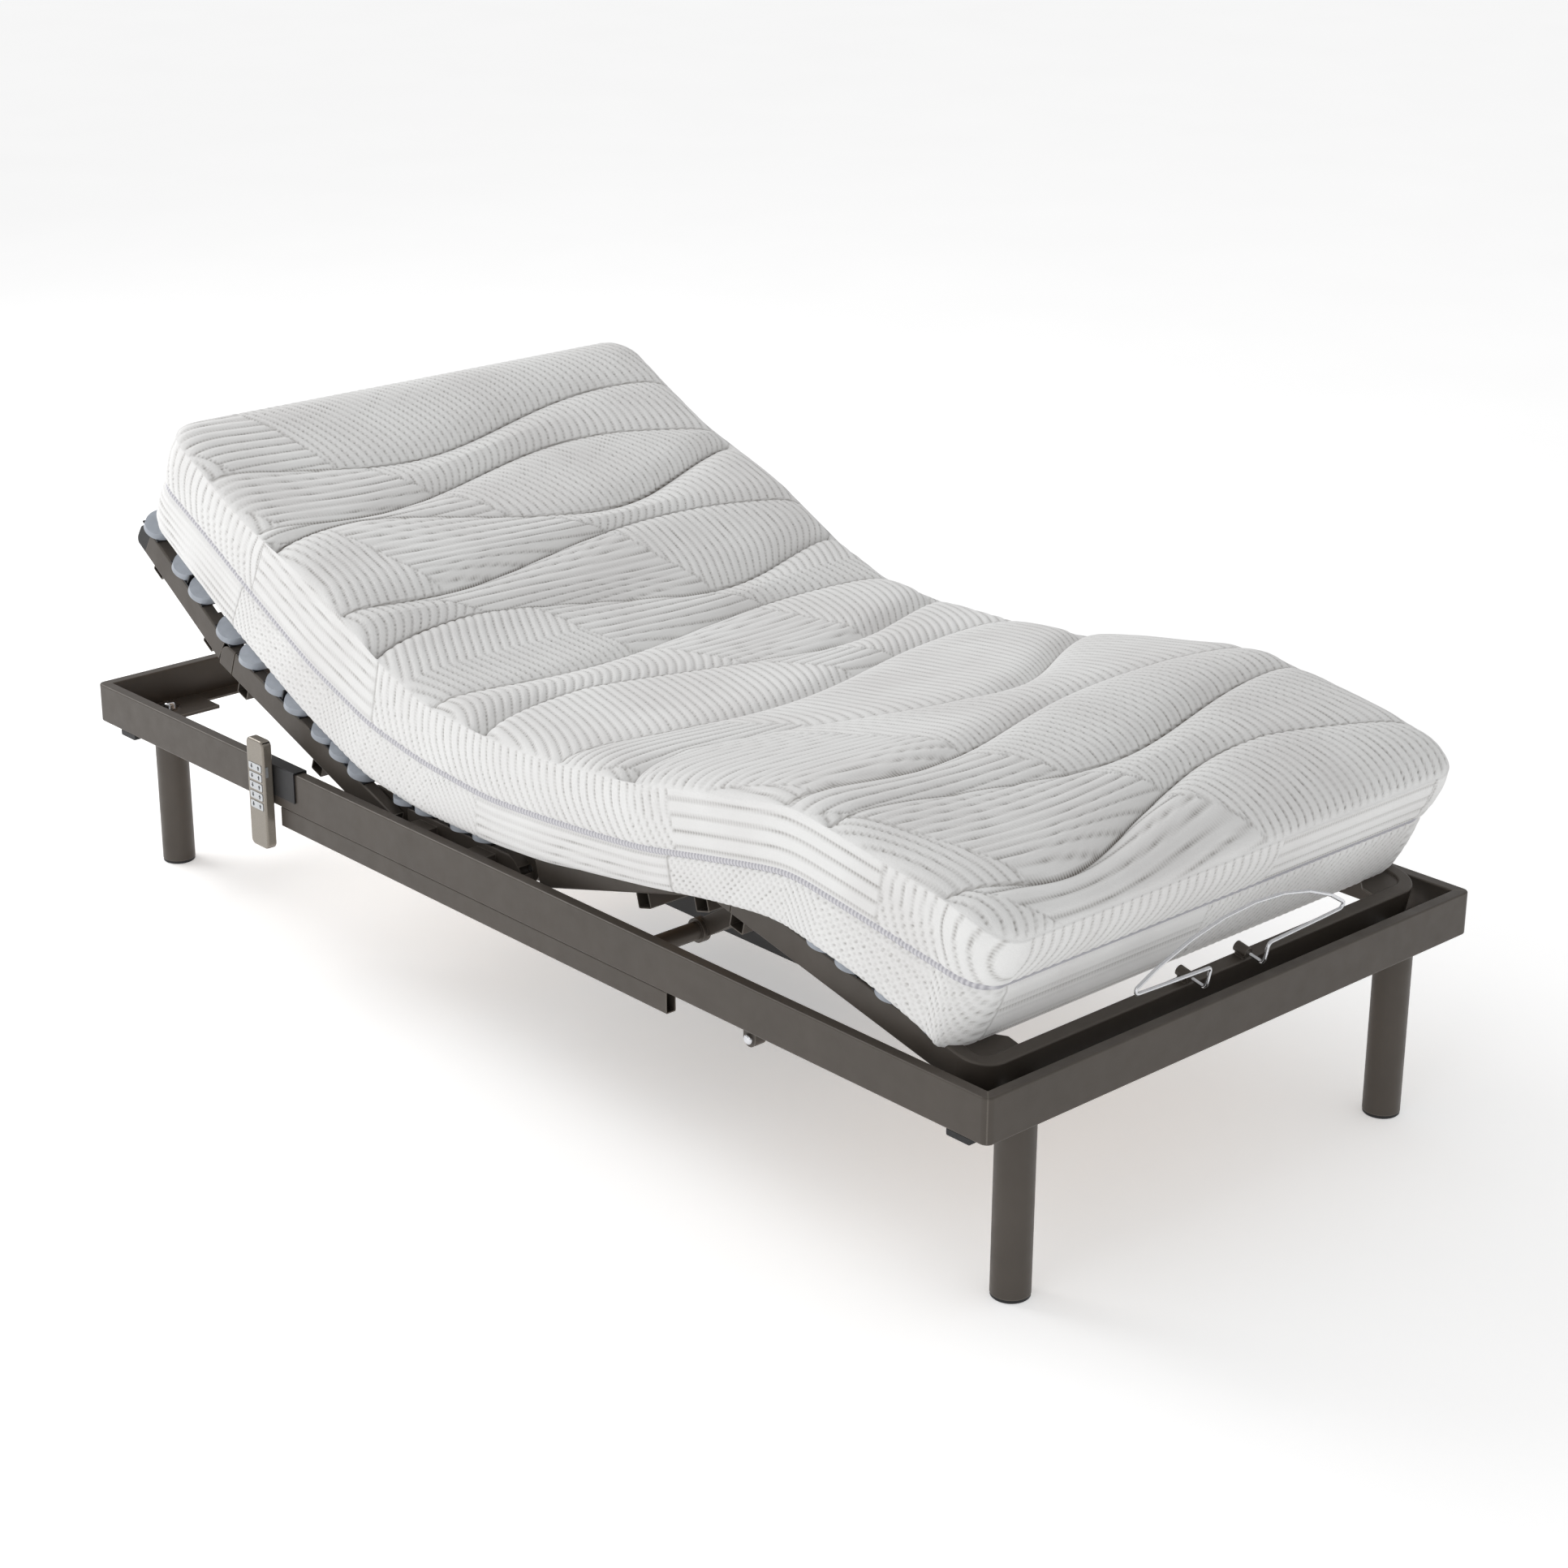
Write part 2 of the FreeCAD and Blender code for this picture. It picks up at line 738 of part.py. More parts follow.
# ---- mattress sections ---------------------------------------------------------
def mattress_section(y_foot, y_head, tops, round_end=0):
    """Block on one section; tops are (y, height over the hinge line) points from foot to head."""
    outline = [(y_foot, mattress_bottom), (y_head, mattress_bottom)]
    outline += [(y, hinge_height + height) for y, height in reversed(tops)]
    solid = side_outline(outline, -mattress_half_width, mattress_half_width)
    if round_end:
        y_end = y_foot if round_end < 0 else y_head
        solid = rounded(solid, AXIS_Z, mattress_corner_radius, lambda m: abs(m.y - y_end) < 1)
    return solid


def fold_lean(height, fold):
    """How far a section's end face stands off the hinge line at a height above it."""
    return height * math.tan(math.radians(fold / 2)) + joint_slack


def mattress():
    """Five blocks whose ends lean away from the hinges that close on top."""
    low = mattress_bottom - hinge_height
    seat_foot = thigh_pivot_y + fold_lean(mattress_seat_height, thigh_fold_max)
    seat_head = back_pivot_y - fold_lean(mattress_lumbar_height, back_fold_max)
    seat = mattress_section(
        thigh_pivot_y + fold_lean(low, thigh_fold_max), back_pivot_y - fold_lean(low, back_fold_max),
        [(seat_foot, mattress_seat_height), (seat_head, mattress_lumbar_height)],
    )
    back_foot = back_pivot_y + fold_lean(mattress_back_height, back_fold_max)
    back_head = head_pivot_y - fold_lean(mattress_back_height, head_fold_max)
    back = mattress_section(
        back_pivot_y + fold_lean(low, back_fold_max), head_pivot_y - fold_lean(low, head_fold_max),
        [(back_foot, mattress_back_height), (back_head, mattress_back_height)],
    )
    head_foot = head_pivot_y + fold_lean(mattress_neck_height, head_fold_max)
    head = mattress_section(
        head_pivot_y + fold_lean(low, head_fold_max), mattress_head_end,
        [(head_foot, mattress_neck_height), (mattress_head_end, mattress_head_height)], 1,
    )
    thigh_foot = knee_pivot_y + joint_slack
    thigh_head = thigh_pivot_y - fold_lean(mattress_thigh_height, thigh_fold_max)
    thigh = mattress_section(
        thigh_foot, thigh_pivot_y - fold_lean(low, thigh_fold_max),
        [(thigh_foot, mattress_knee_height), (thigh_head, mattress_thigh_height)],
    )
    calf_head = knee_pivot_y - joint_slack
    calf = mattress_section(
        mattress_foot_end, calf_head,
        [(mattress_foot_end, mattress_foot_height), (knee_pivot_y - mattress_calf_rise, mattress_calf_height),
         (calf_head, mattress_knee_height)], -1,
    )
    save("mattress_seat", [seat])
    save("mattress_back", [back], as_back)
    save("mattress_head", [head], as_head)
    save("mattress_thigh", [thigh], as_thigh)
    save("mattress_calf", [calf], as_calf)


# ---- sections ------------------------------------------------------------------
def seat_section():
    half = []
    half.append(side_tube(seat_foot_end, seat_head_end))
    nose = end_plug(seat_foot_end - seat_end_radius, seat_foot_end)
    nose = nose.cut(rounding_tool(seat_foot_end - seat_end_radius, platform_top, -1, 1,
                                  seat_end_radius, tube_inner_x - 1, platform_half_width + 1))
    room = pin_diameter / 2 + 1
    half.append(nose.cut(along_x(room, tube_inner_x - 1, platform_half_width - side_tube_wall,
                                 thigh_pivot_y, hinge_height)))
    for y in seat_bars:
        half.append(block(platform_half_width, inner_x, y - bracket_length / 2, y + bracket_length / 2,
                          platform_bottom + bracket_inset, frame_top - bracket_inset))
    half.append(hinge_arm(seat_head_end - hinge_weld_length - 10, back_pivot_y, 0, 0))
    half.append(hinge_arm(seat_foot_end + hinge_weld_length + 10, thigh_pivot_y, 0, 0))
    frame = half + [mirror_x(piece) for piece in half] + [cross_bar(y) for y in seat_bars]
    save("seat_frame", [welded(frame)])
    pins = both_sides(hinge_pin(back_pivot_y, pin_end_x, 1))
    pins += both_sides(hinge_pin(thigh_pivot_y, tube_inner_x, 2))
    save("seat_hinge_pins", pins)
    save_slats("seat", seat_slats, as_seat)


def back_section():
    start = back_pivot_y - back_tail
    end = head_pivot_y - neck_knuckle_length - shadow_gap
    tube = bushed(side_tube(start, end), back_pivot_y)
    knuckle = end_plug(head_pivot_y - neck_knuckle_length, head_pivot_y + knuckle_reach)
    knuckle = knuckle.cut(rounding_tool(head_pivot_y + knuckle_reach, platform_top, 1, 1,
                                        knuckle_reach, tube_inner_x - 1, platform_half_width + 1))
    bore = along_x(pin_diameter / 2 + pin_clearance, tube_inner_x - 1,
                   platform_half_width - side_tube_wall, head_pivot_y, hinge_height)
    neck = neck_plug(end - neck_length, head_pivot_y - neck_knuckle_length)
    rail = welded([tube, knuckle, neck]).cut(bore)
    save("back_side_rails", both_sides(rail), as_back)
    save("back_cross_bars", [ladder(back_bars, back_track_start, back_bars[1] + cross_bar_width / 2)],
         as_back)
    save_slats("back", back_slats, as_back)


def neck_plug(y0, y1):
    """Tongue that fills a side tube's bore and carries the end piece beyond it."""
    return block(tube_inner_x + side_tube_wall, platform_half_width - side_tube_wall, y0, y1,
                 platform_bottom + side_tube_wall, platform_top - side_tube_wall)


def head_section():
    start = head_pivot_y + knuckle_reach + knuckle_gap
    end = head_tip_y - end_cap_length
    plate = hinge_arm(start + hinge_weld_length + 4, head_pivot_y, 0, 0)
    rail = welded([side_tube(start, end), plate])
    save("head_side_rails", both_sides(rail), as_head)
    save("head_hinge_pins", both_sides(hinge_pin(head_pivot_y, pin_end_x, 1)), as_head)
    cap = end_plug(end, head_tip_y)
    for sign in (-1, 1):
        z = hinge_height + sign * side_tube_height / 2
        cap = cap.cut(rounding_tool(head_tip_y, z, 1, sign, end_cap_radius,
                                    tube_inner_x - 1, platform_half_width + 1))
    save("head_end_caps", both_sides(cap.fuse(neck_plug(end - end_cap_spigot, end))), as_head)
    save("head_cross_bars", [cross_bar(y, head_bar_height) for y in head_bars], as_head)
    save_slats("head", head_slats, as_head)


def thigh_section():
    start = thigh_pivot_y - thigh_gap
    tube = side_tube(knee_pivot_y + knuckle_reach, start)
    nose = end_plug(knee_pivot_y - knuckle_reach, knee_pivot_y + knuckle_reach)
    nose = nose.cut(rounding_tool(knee_pivot_y - knuckle_reach, platform_bottom, -1, -1,
                                  knuckle_reach, tube_inner_x - 1, platform_half_width + 1))
    bore = along_x(pin_diameter / 2 + pin_clearance, tube_inner_x - 1,
                   platform_half_width - side_tube_wall, knee_pivot_y, hinge_height)
    plate = hinge_arm(start - hinge_weld_length - 4, thigh_pivot_y, 1, pin_clearance)
    rail = welded([tube, nose.cut(bore), plate])
    save("thigh_side_rails", both_sides(rail), as_thigh)
    save("thigh_cross_bars", [ladder(thigh_bars, thigh_bars[1] - cross_bar_width / 2, thigh_track_end)],
         as_thigh)
    save_slats("thigh", thigh_slats, as_thigh)


def calf_section():
    knuckle_end = knee_pivot_y - knuckle_reach - knuckle_gap
    split = knuckle_end - knee_knuckle_length
    tube_start = split - shadow_gap
    tube_end = calf_tip_y + calf_corner_radius
    half = [
        side_tube(tube_end, tube_start),
        end_plug(split, knuckle_end),
        neck_plug(tube_start - neck_length, split),
        hinge_arm(tube_start - hinge_weld_length - 10, knee_pivot_y, 0, 0),
        calf_gusset(),
    ]
    frame = half + [mirror_x(piece) for piece in half]
    frame += [calf_end_bar(tube_end)] + [cross_bar(y) for y in calf_bars] + retainer_sockets()
    save("calf_frame", [welded(frame)], as_calf)
    save("knee_hinge_pins", both_sides(hinge_pin(knee_pivot_y, pin_end_x, 1)), as_calf)
    save_slats("calf", calf_slats, as_calf)


def bent_end(inset, tube_end):
    """U-shaped outline of the calf's end tube, solid, shrunk by an inset."""
    low = platform_bottom + inset
    high = platform_top - inset
    x_out = platform_half_width - inset
    x_in = tube_inner_x + inset
    y_out = calf_tip_y + inset
    y_in = calf_tip_y + side_tube_width - inset
    outer = block(-x_out, x_out, y_out, tube_end, low, high)
    outer = rounded(outer, AXIS_Z, calf_corner_radius - inset, lambda m: m.y < y_out + 1)
    inner = block(-x_in, x_in, y_in, tube_end + 1, low - 1, high + 1)
    inner_radius = calf_corner_radius - side_tube_width + inset
    inner = rounded(inner, AXIS_Z, inner_radius, lambda m: m.y < y_in + 1)
    return outer.cut(inner)


def calf_end_bar(tube_end):
    """End tube of the calf frame: straight across, with a bent corner at each side."""
    bar = bent_end(0, tube_end + calf_corner_overlap)
    level = [e for e in bar.Edges if abs(abs(e.CenterOfMass.z - hinge_height) - side_tube_height / 2) < 0.01
             and e.CenterOfMass.y < tube_end + calf_corner_overlap - 0.01]
    bar = bar.makeFillet(side_tube_edge, level)
    bar = bar.cut(bent_end(side_tube_wall, tube_end + 2 * calf_corner_overlap))
    trim = block(-half_width, half_width, tube_end, tube_end + 3 * calf_corner_overlap, 0, platform_top + 1)
    return bar.cut(trim)


def calf_gusset():
    """Flat corner plate inside the calf frame's corner."""
    x = tube_inner_x
    y = calf_tip_y + side_tube_width
    z0 = platform_top - side_tube_edge - gusset_thickness
    reach = gusset_reach
    inner_r = calf_corner_radius - side_tube_width
    points = [(x + 1, y - 1), (x + 1, y + reach), (x - inner_r, y + reach),
              (x - reach, y + inner_r), (x - reach, y - 1)]
    return plan_outline(points, z0, z0 + gusset_thickness)


# ---- mattress retainer ---------------------------------------------------------
def wire(points):
    """Round wire along straight runs joined by small bends."""
    radius = wire_radius * 2.4
    edges = []
    start = points[0]
    for i in range(1, len(points) - 1):
        corner = points[i]
        back = (points[i - 1] - corner).normalize()
        ahead = (points[i + 1] - corner).normalize()
        half = math.acos(max(-1, min(1, back.dot(ahead)))) / 2
        step = radius / math.tan(half)
        a = corner + back * step
        b = corner + ahead * step
        centre = corner + (back + ahead).normalize() * (radius / math.sin(half))
        middle = centre + (corner - centre).normalize() * radius
        edges.append(Part.LineSegment(start, a).toShape())
        edges.append(Part.Arc(a, middle, b).toShape())
        start = b
    edges.append(Part.LineSegment(start, points[-1]).toShape())
    path = Part.Wire(edges)
    direction = (points[1] - points[0]).normalize()
    profile = Part.Wire(Part.Circle(points[0], direction, wire_radius).toShape())
    return path.makePipeShell([profile], True, False)


def arc_points(steps):
    """Points of the bow's upper arc, from its left corner to its right corner."""
    radius = (bow_half_width ** 2 + bow_rise ** 2) / (2 * bow_rise)
    half = math.asin(bow_half_width / radius)
    points = []
    for i in range(steps + 1):
        angle = -half + 2 * half * i / steps
        points.append((radius * math.sin(angle), bow_rise - radius * (1 - math.cos(angle))))
    return points


def retainer():
    z0 = platform_top + socket_lift
    y_bow = calf_tip_y - bow_stand_off
    z_low = z0 + bow_lower_lift
    upper = [Vector(x, y_bow, z_low + bow_corner_rise + rise) for x, rise in arc_points(8)]
    left = [
        Vector(-socket_x, calf_tip_y + socket_depth, z0),
        Vector(-socket_x, y_bow, z0),
        Vector(-socket_x, y_bow, z_low),
    ]
    right = [Vector(-p.x, p.y, p.z) for p in reversed(left)]
    save("retainer_bow", [wire(left + upper + right)], as_calf)


def retainer_sockets():
    """Two short round sockets on top of the end tube, bored for the bow's ends."""
    z0 = platform_top + socket_lift
    sockets = []
    for sign in (-1, 1):
        x = sign * socket_x
        socket = rod(AXIS_Y, socket_radius, Vector(x, calf_tip_y, z0), socket_length)
        foot = block(x - socket_foot / 2, x + socket_foot / 2, calf_tip_y + side_tube_edge,
                     calf_tip_y + socket_length - side_tube_edge, platform_top - side_tube_wall, z0)
        bore = rod(AXIS_Y, wire_radius, Vector(x, calf_tip_y - 1, z0), socket_depth + 1)
        sockets.append(socket.fuse(foot).cut(bore))
    return sockets


# ---- twin drive ----------------------------------------------------------------
def lever(prefix, shaft, arm_length, sign, start_angle, middle_angle, rest_angle):
    """Drive shaft with two lift arms and a forked crank welded on; it turns as one."""
    y, z = shaft
    angle = math.radians(start_angle)
    reach_y = sign * math.cos(angle)
    reach_z = math.sin(angle)
    tip = (y + arm_length * reach_y, z + arm_length * reach_z)
    half = arm_half_width
    outline = [
        (y - half * reach_z, z + half * reach_y), (tip[0] - half * reach_z, tip[1] + half * reach_y),
        (tip[0] + half * reach_z, tip[1] - half * reach_y), (y + half * reach_z, z - half * reach_y),
    ]
    x0 = arm_x + roller_width / 2 + roller_side_gap
    x1 = x0 + arm_thickness
    arm = side_outline(outline, x0, x1).fuse([
        along_x(half, x0, x1, tip[0], tip[1]),
        along_x(collar_radius, x0, x0 + collar_length, y, z),
        along_x(axle_radius, arm_x - roller_width / 2 - roller_side_gap, x0, tip[0], tip[1]),
    ])
    arm = turn(arm, shaft, rest_angle)
    outer = along_x(shaft_diameter / 2, -shaft_half_length, shaft_half_length, y, z)
    bore = along_x(shaft_diameter / 2 - shaft_wall, -shaft_half_length - 1, shaft_half_length + 1, y, z)
    cheek_x = crank_x + crank_thickness
    cheek = block(crank_x, cheek_x, y - crank_tip_radius, y + crank_tip_radius, z - crank_length, z)
    cheek = cheek.fuse([
        along_x(crank_tip_radius, crank_x, cheek_x, y, z - crank_length),
        along_x(crank_hub_radius, crank_x, cheek_x, y, z),
    ])
    cheek = turn(cheek, shaft, rest_angle - middle_angle)
    whole = welded([outer] + both_sides(arm) + both_sides(cheek)).cut(bore)
    save(prefix + "_lift_lever", [whole])
    roller = along_x(roller_radius, arm_x - roller_width / 2, arm_x + roller_width / 2, tip[0], tip[1])
    roller = roller.cut(along_x(axle_radius + axle_clearance, 0, half_width, tip[0], tip[1]))
    save(prefix + "_lift_rollers", both_sides(turn(roller, shaft, rest_angle)))


def shaft_bearings():
    """Bearing blocks on the lower rails; each drive shaft turns in a pair of them."""
    blocks = []
    x0 = lower_rail_face - bearing_depth
    for y in (back_shaft_y, legs_shaft_y):
        body = block(x0, lower_rail_face, y - bearing_width / 2, y + bearing_width / 2,
                     drive_height - bearing_height / 2, drive_height + bearing_height / 2)
        body = rounded(body, AXIS_X, bearing_corner)
        bore = along_x(shaft_diameter / 2 + shaft_clearance, x0 - 1, shaft_half_length + 1, y, drive_height)
        blocks.extend(both_sides(body.cut(bore)))
    save("shaft_bearings", blocks)


def shell(z0, z1, open_top):
    """Open box of the drive housing, between two levels."""
    outer = block(-housing_half_width, housing_half_width, housing_foot_end, housing_head_end, z0, z1)
    outer = rounded(outer, AXIS_Z, housing_corner)
    w = housing_wall
    inner = block(-housing_half_width + w, housing_half_width - w,
                  housing_foot_end + w, housing_head_end - w,
                  z0 + w if open_top else z0 - 1, z1 + 1 if open_top else z1 - w)
    inner = rounded(inner, AXIS_Z, housing_corner - w)
    return outer.cut(inner)


def drive_unit():
    tray = shell(housing_floor, housing_split, True)
    lid = shell(housing_split, housing_top, False)
    for y in (back_shaft_y, legs_shaft_y):
        hole = along_x(shaft_diameter / 2 + shaft_hole_clearance, -half_width, half_width, y, drive_height)
        lid = lid.cut(hole)
    gland = rod(AXIS_Y, gland_radius, Vector(-gland_x, housing_foot_end - gland_length, nut_z), gland_length)
    save("drive_tray", [welded([tray, gland])])
    save("drive_lid", [lid])
    motors = []
    spindles = []
    for sign, shaft_y in ((1, back_shaft_y), (-1, legs_shaft_y)):
        near = gearbox_y + sign * gearbox_gap / 2
        far = near + sign * gearbox_length
        gearbox = block(-gearbox_half_width, gearbox_half_width, near, far,
                        nut_z - nut_height / 2, nut_z + nut_height / 2)
        motor = along_x(motor_radius, gearbox_half_width, gearbox_half_width + motor_length,
                        (near + far) / 2, nut_z)
        motors.append(gearbox.fuse(motor))
        end = shaft_y + sign * (crank_length - spindle_end_gap)
        spindles.append(rod(AXIS_Y, spindle_radius, Vector(0, min(far, end), nut_z), abs(end - far)))
    save("drive_motors", motors)
    save("drive_spindles", spindles)


def nut(prefix, shaft_y, sign, turn_from_middle):
    """Nut that runs along its spindle and pushes the crank outwards."""
    tip_y = shaft_y + sign * crank_length * math.sin(math.radians(turn_from_middle))
    face = tip_y - sign * (crank_tip_radius + nut_gap)
    far = face - sign * nut_length
    body = block(-nut_half_width, nut_half_width, far, face, nut_z - nut_height / 2, nut_z + nut_height / 2)
    body = rounded(body, AXIS_Y, nut_corner)
    bore = rod(AXIS_Y, spindle_radius + spindle_clearance, Vector(0, -half_length, nut_z), bed_length)
    save(prefix + "_drive_nut", [body.cut(bore)])


def start_angle(arm_length):
    """Arm angle at which the roller hangs just under the track of a flat section."""
    drop = roller_radius + roller_gap + drive_height - track_bottom
    return -math.degrees(math.asin(drop / arm_length))


def drive():
    back_middle = back_lever_ratio * back_fold_max / 2
    legs_middle = legs_lever_ratio * thigh_fold_max / 2
    lever("back", BACK_SHAFT, back_arm_length, 1, start_angle(back_arm_length),
          back_middle, back_lever_rest)
    lever("legs", LEGS_SHAFT, legs_arm_length, -1, start_angle(legs_arm_length),
          -legs_middle, -legs_lever_rest)
    nut("back", back_shaft_y, 1, back_lever_rest - back_middle)
    nut("legs", legs_shaft_y, -1, legs_lever_rest - legs_middle)
    shaft_bearings()
    drive_unit()


# ---- handset -------------------------------------------------------------------
def casing(x0, x1, edge_x):
    """Half of the handset's casing, rounded along its outer rim."""
    y0 = handset_y - handset_width / 2
    body = block(x0, x1, y0, y0 + handset_width, handset_bottom, handset_bottom + handset_length)
    body = rounded(body, AXIS_X, handset_corner)
    rim = [e for e in body.Edges if abs(e.CenterOfMass.x - edge_x) < 0.01]
    return body.makeFillet(handset_edge, rim)


def window(y0, y1, z0, z1, x0, x1):
    """Opening for a key, wider than the key by its clearance."""
    return block(x0, x1, y0 - key_clearance, y1 + key_clearance, z0 - key_clearance, z1 + key_clearance)


def handset():
    back_x = -half_width - hook_clearance - hook_thickness
    front_x = back_x - handset_thickness
    split_x = (back_x + front_x) / 2
    wall = handset_wall
    y0 = handset_y - handset_width / 2
    y1 = handset_y + handset_width / 2
    z0 = handset_bottom
    z1 = handset_bottom + handset_length
    hollow = block(front_x + wall, back_x - wall, y0 + wall, y1 - wall, z0 + wall, z1 - wall)
    front = casing(front_x, split_x, front_x).cut(hollow)
    back = casing(split_x, back_x, back_x).cut(hollow)
    for row in range(key_rows):
        z = z1 - key_top_drop - row * key_row_pitch
        low = z - key_height / 2
        left = handset_y - key_width / 2
        front = front.cut(window(left, left + key_width, low, low + key_height, front_x - 1, front_x + wall + 1))
        key = block(front_x - key_proud, front_x + key_depth, left, left + key_width, low, low + key_height)
        save("key_row_" + str(row + 1), [rounded(key, AXIS_X, key_corner)])
    low = z1 - side_key_drop - side_key_height
    key_x1 = split_x - side_key_setback
    key_x0 = key_x1 - side_key_width
    slot = block(key_x0 - key_clearance, key_x1 + key_clearance, y0 - 1, y0 + wall + 1,
                 low - key_clearance, low + side_key_height + key_clearance)
    front = front.cut(slot)
    save("side_key", [block(key_x0, key_x1, y0 - key_proud, y0 + side_key_depth, low, low + side_key_height)])
    save("handset_front", [front])
    save("handset_back", [back])
    hook()


def hook():
    """Saddle behind the handset that hangs it over the long rail."""
    t = hook_thickness
    out_x = -half_width - hook_clearance - t
    in_x = -inner_x + hook_clearance + t
    top = frame_top + hook_clearance + t
    y0 = hook_foot_side
    y1 = hook_foot_side + hook_width
    outer = block(out_x, in_x, y0, y1, top - hook_outer_drop, top)
    room = block(out_x + t, in_x - t, y0 - 1, y1 + 1, top - hook_outer_drop - 1, top - t)
    below = block(in_x - t, in_x + 1, y0 - 1, y1 + 1, top - hook_outer_drop - 1, top - hook_inner_drop)
    saddle = outer.cut(room).cut(below)
    saddle = rounded(saddle, AXIS_Y, t * 0.7, lambda m: m.z > top - 0.01)
    save("handset_hook", [saddle])


outer_frame()
legs_and_corner_fittings()
rail_pads()
lower_rails()
link_tabs()
seat_section()
back_section()
head_section()
thigh_section()
calf_section()
retainer()
drive()
handset()
mattress()
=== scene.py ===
import json
import math

import bpy
import numpy as np
from mathutils import Matrix, Vector


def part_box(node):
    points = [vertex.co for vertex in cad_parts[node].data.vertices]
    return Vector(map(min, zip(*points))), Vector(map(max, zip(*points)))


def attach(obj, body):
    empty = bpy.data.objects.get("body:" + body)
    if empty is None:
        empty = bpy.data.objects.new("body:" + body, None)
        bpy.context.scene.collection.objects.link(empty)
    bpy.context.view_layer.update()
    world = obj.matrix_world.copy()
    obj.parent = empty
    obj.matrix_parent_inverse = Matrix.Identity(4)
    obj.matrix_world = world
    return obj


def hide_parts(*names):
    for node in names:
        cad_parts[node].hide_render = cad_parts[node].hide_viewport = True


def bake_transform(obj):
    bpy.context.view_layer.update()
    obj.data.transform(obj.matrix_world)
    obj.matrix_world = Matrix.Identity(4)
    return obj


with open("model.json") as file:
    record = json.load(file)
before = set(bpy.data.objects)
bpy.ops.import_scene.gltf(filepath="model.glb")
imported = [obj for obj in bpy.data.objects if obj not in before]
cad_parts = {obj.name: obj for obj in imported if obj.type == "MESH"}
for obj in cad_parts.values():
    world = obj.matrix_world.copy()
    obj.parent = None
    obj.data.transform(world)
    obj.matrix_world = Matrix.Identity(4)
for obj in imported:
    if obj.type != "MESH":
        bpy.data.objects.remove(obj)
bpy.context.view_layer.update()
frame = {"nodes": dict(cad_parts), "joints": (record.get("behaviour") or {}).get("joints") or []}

bl_info = {
    "name": "Adjustable bed base",
    "version": (1, 0, 0),
    "blender": (4, 5, 0),
    "location": "View3D > Sidebar > Bed",
    "description": "Quilted mattress, finishes and studio for the packed adjustable bed base",
    "category": "Object",
}

MM = 0.001
GRAIN_ROUGHNESS = 0.55
PAPER_CLOUD = 0.5
FLOOR_REACH = 150.0
HOLDER_WIDTH = 45 * MM
JOINTS = {joint["name"]: joint for joint in frame["joints"]}
MATTRESS_LOW, MATTRESS_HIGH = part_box("mattress_seat")


# ---- where the platform's sections lie -----------------------------------------
def pivot(joint):
    """A joint's place in the bed's side view, as (y, z)."""
    place = JOINTS[joint]["pos_m"]
    return (place[1], place[2])


def opened(joint):
    """How far a joint stands from flat at rest, in radians."""
    return math.radians(-JOINTS[joint]["range_deg"][0])


BACK_SLOPE = opened("back_lift")
HEAD_SLOPE = BACK_SLOPE + opened("head_tilt")
THIGH_SLOPE = -opened("thigh_lift")
CALF_SLOPE = THIGH_SLOPE + opened("knee_fold")
SECTIONS = {
    "head": (pivot("head_tilt"), HEAD_SLOPE),
    "back": (pivot("back_lift"), BACK_SLOPE),
    "seat": ((0.0, pivot("back_lift")[1]), 0.0),
    "thigh": (pivot("thigh_lift"), THIGH_SLOPE),
    "calf": (pivot("knee_fold"), CALF_SLOPE),
}

# How the soft mattress lies on the sections, foot to head, in metres: the section, the place along
# its hinge line, the zip's height over that line, the border above the zip and the border below it.
LIE = (
    ("calf", -0.456, 0.114, 0.080, 0.105),
    ("calf", -0.427, 0.124, 0.083, 0.104),
    ("calf", -0.388, 0.119, 0.089, 0.090),
    ("calf", -0.281, 0.112, 0.088, 0.076),
    ("calf", -0.146, 0.101, 0.090, 0.070),
    ("calf", -0.091, 0.079, 0.084, 0.060),
    ("calf", 0.004, 0.038, 0.087, 0.054),
    ("thigh", -0.301, 0.043, 0.087, 0.050),
    ("thigh", -0.199, 0.060, 0.086, 0.054),
    ("thigh", -0.094, 0.080, 0.085, 0.061),
    ("seat", -0.007, 0.096, 0.090, 0.062),
    ("seat", 0.141, 0.107, 0.089, 0.074),
    ("seat", 0.260, 0.128, 0.107, 0.081),
    ("back", 0.158, 0.133, 0.122, 0.078),
    ("back", 0.264, 0.146, 0.108, 0.080),
    ("head", 0.030, 0.154, 0.093, 0.082),
    ("head", 0.090, 0.150, 0.089, 0.082),
    ("head", 0.226, 0.136, 0.089, 0.074),
    ("head", 0.261, 0.132, 0.087, 0.072),
)
LIE_STEP = 1.0 * MM
LIE_EASE = 60
# The share of the cover's length, from the foot, that rests on the legs' two sections alone.
LEGS_SHARE = 0.45

# Quilting seams across the bed, foot to head: the seam's place, how far it swings towards the head,
# and how far from the bed's middle line the swing starts.
SEAM_WAVE = 0.84
QUILT_SEAMS = (
    (0.090, 0.050, -0.07),
    (0.228, 0.035, 0.15),
    (0.327, 0.031, -0.04),
    (0.535, -0.085, -0.15),
    (0.729, 0.039, 0.06),
    (0.900, -0.050, -0.09),
    (1.033, 0.022, 0.00),
    (1.166, -0.046, -0.09),
    (1.292, 0.026, -0.08),
    (1.421, -0.050, -0.13),
    (1.515, 0.035, -0.06),
    (1.612, 0.033, 0.07),
)
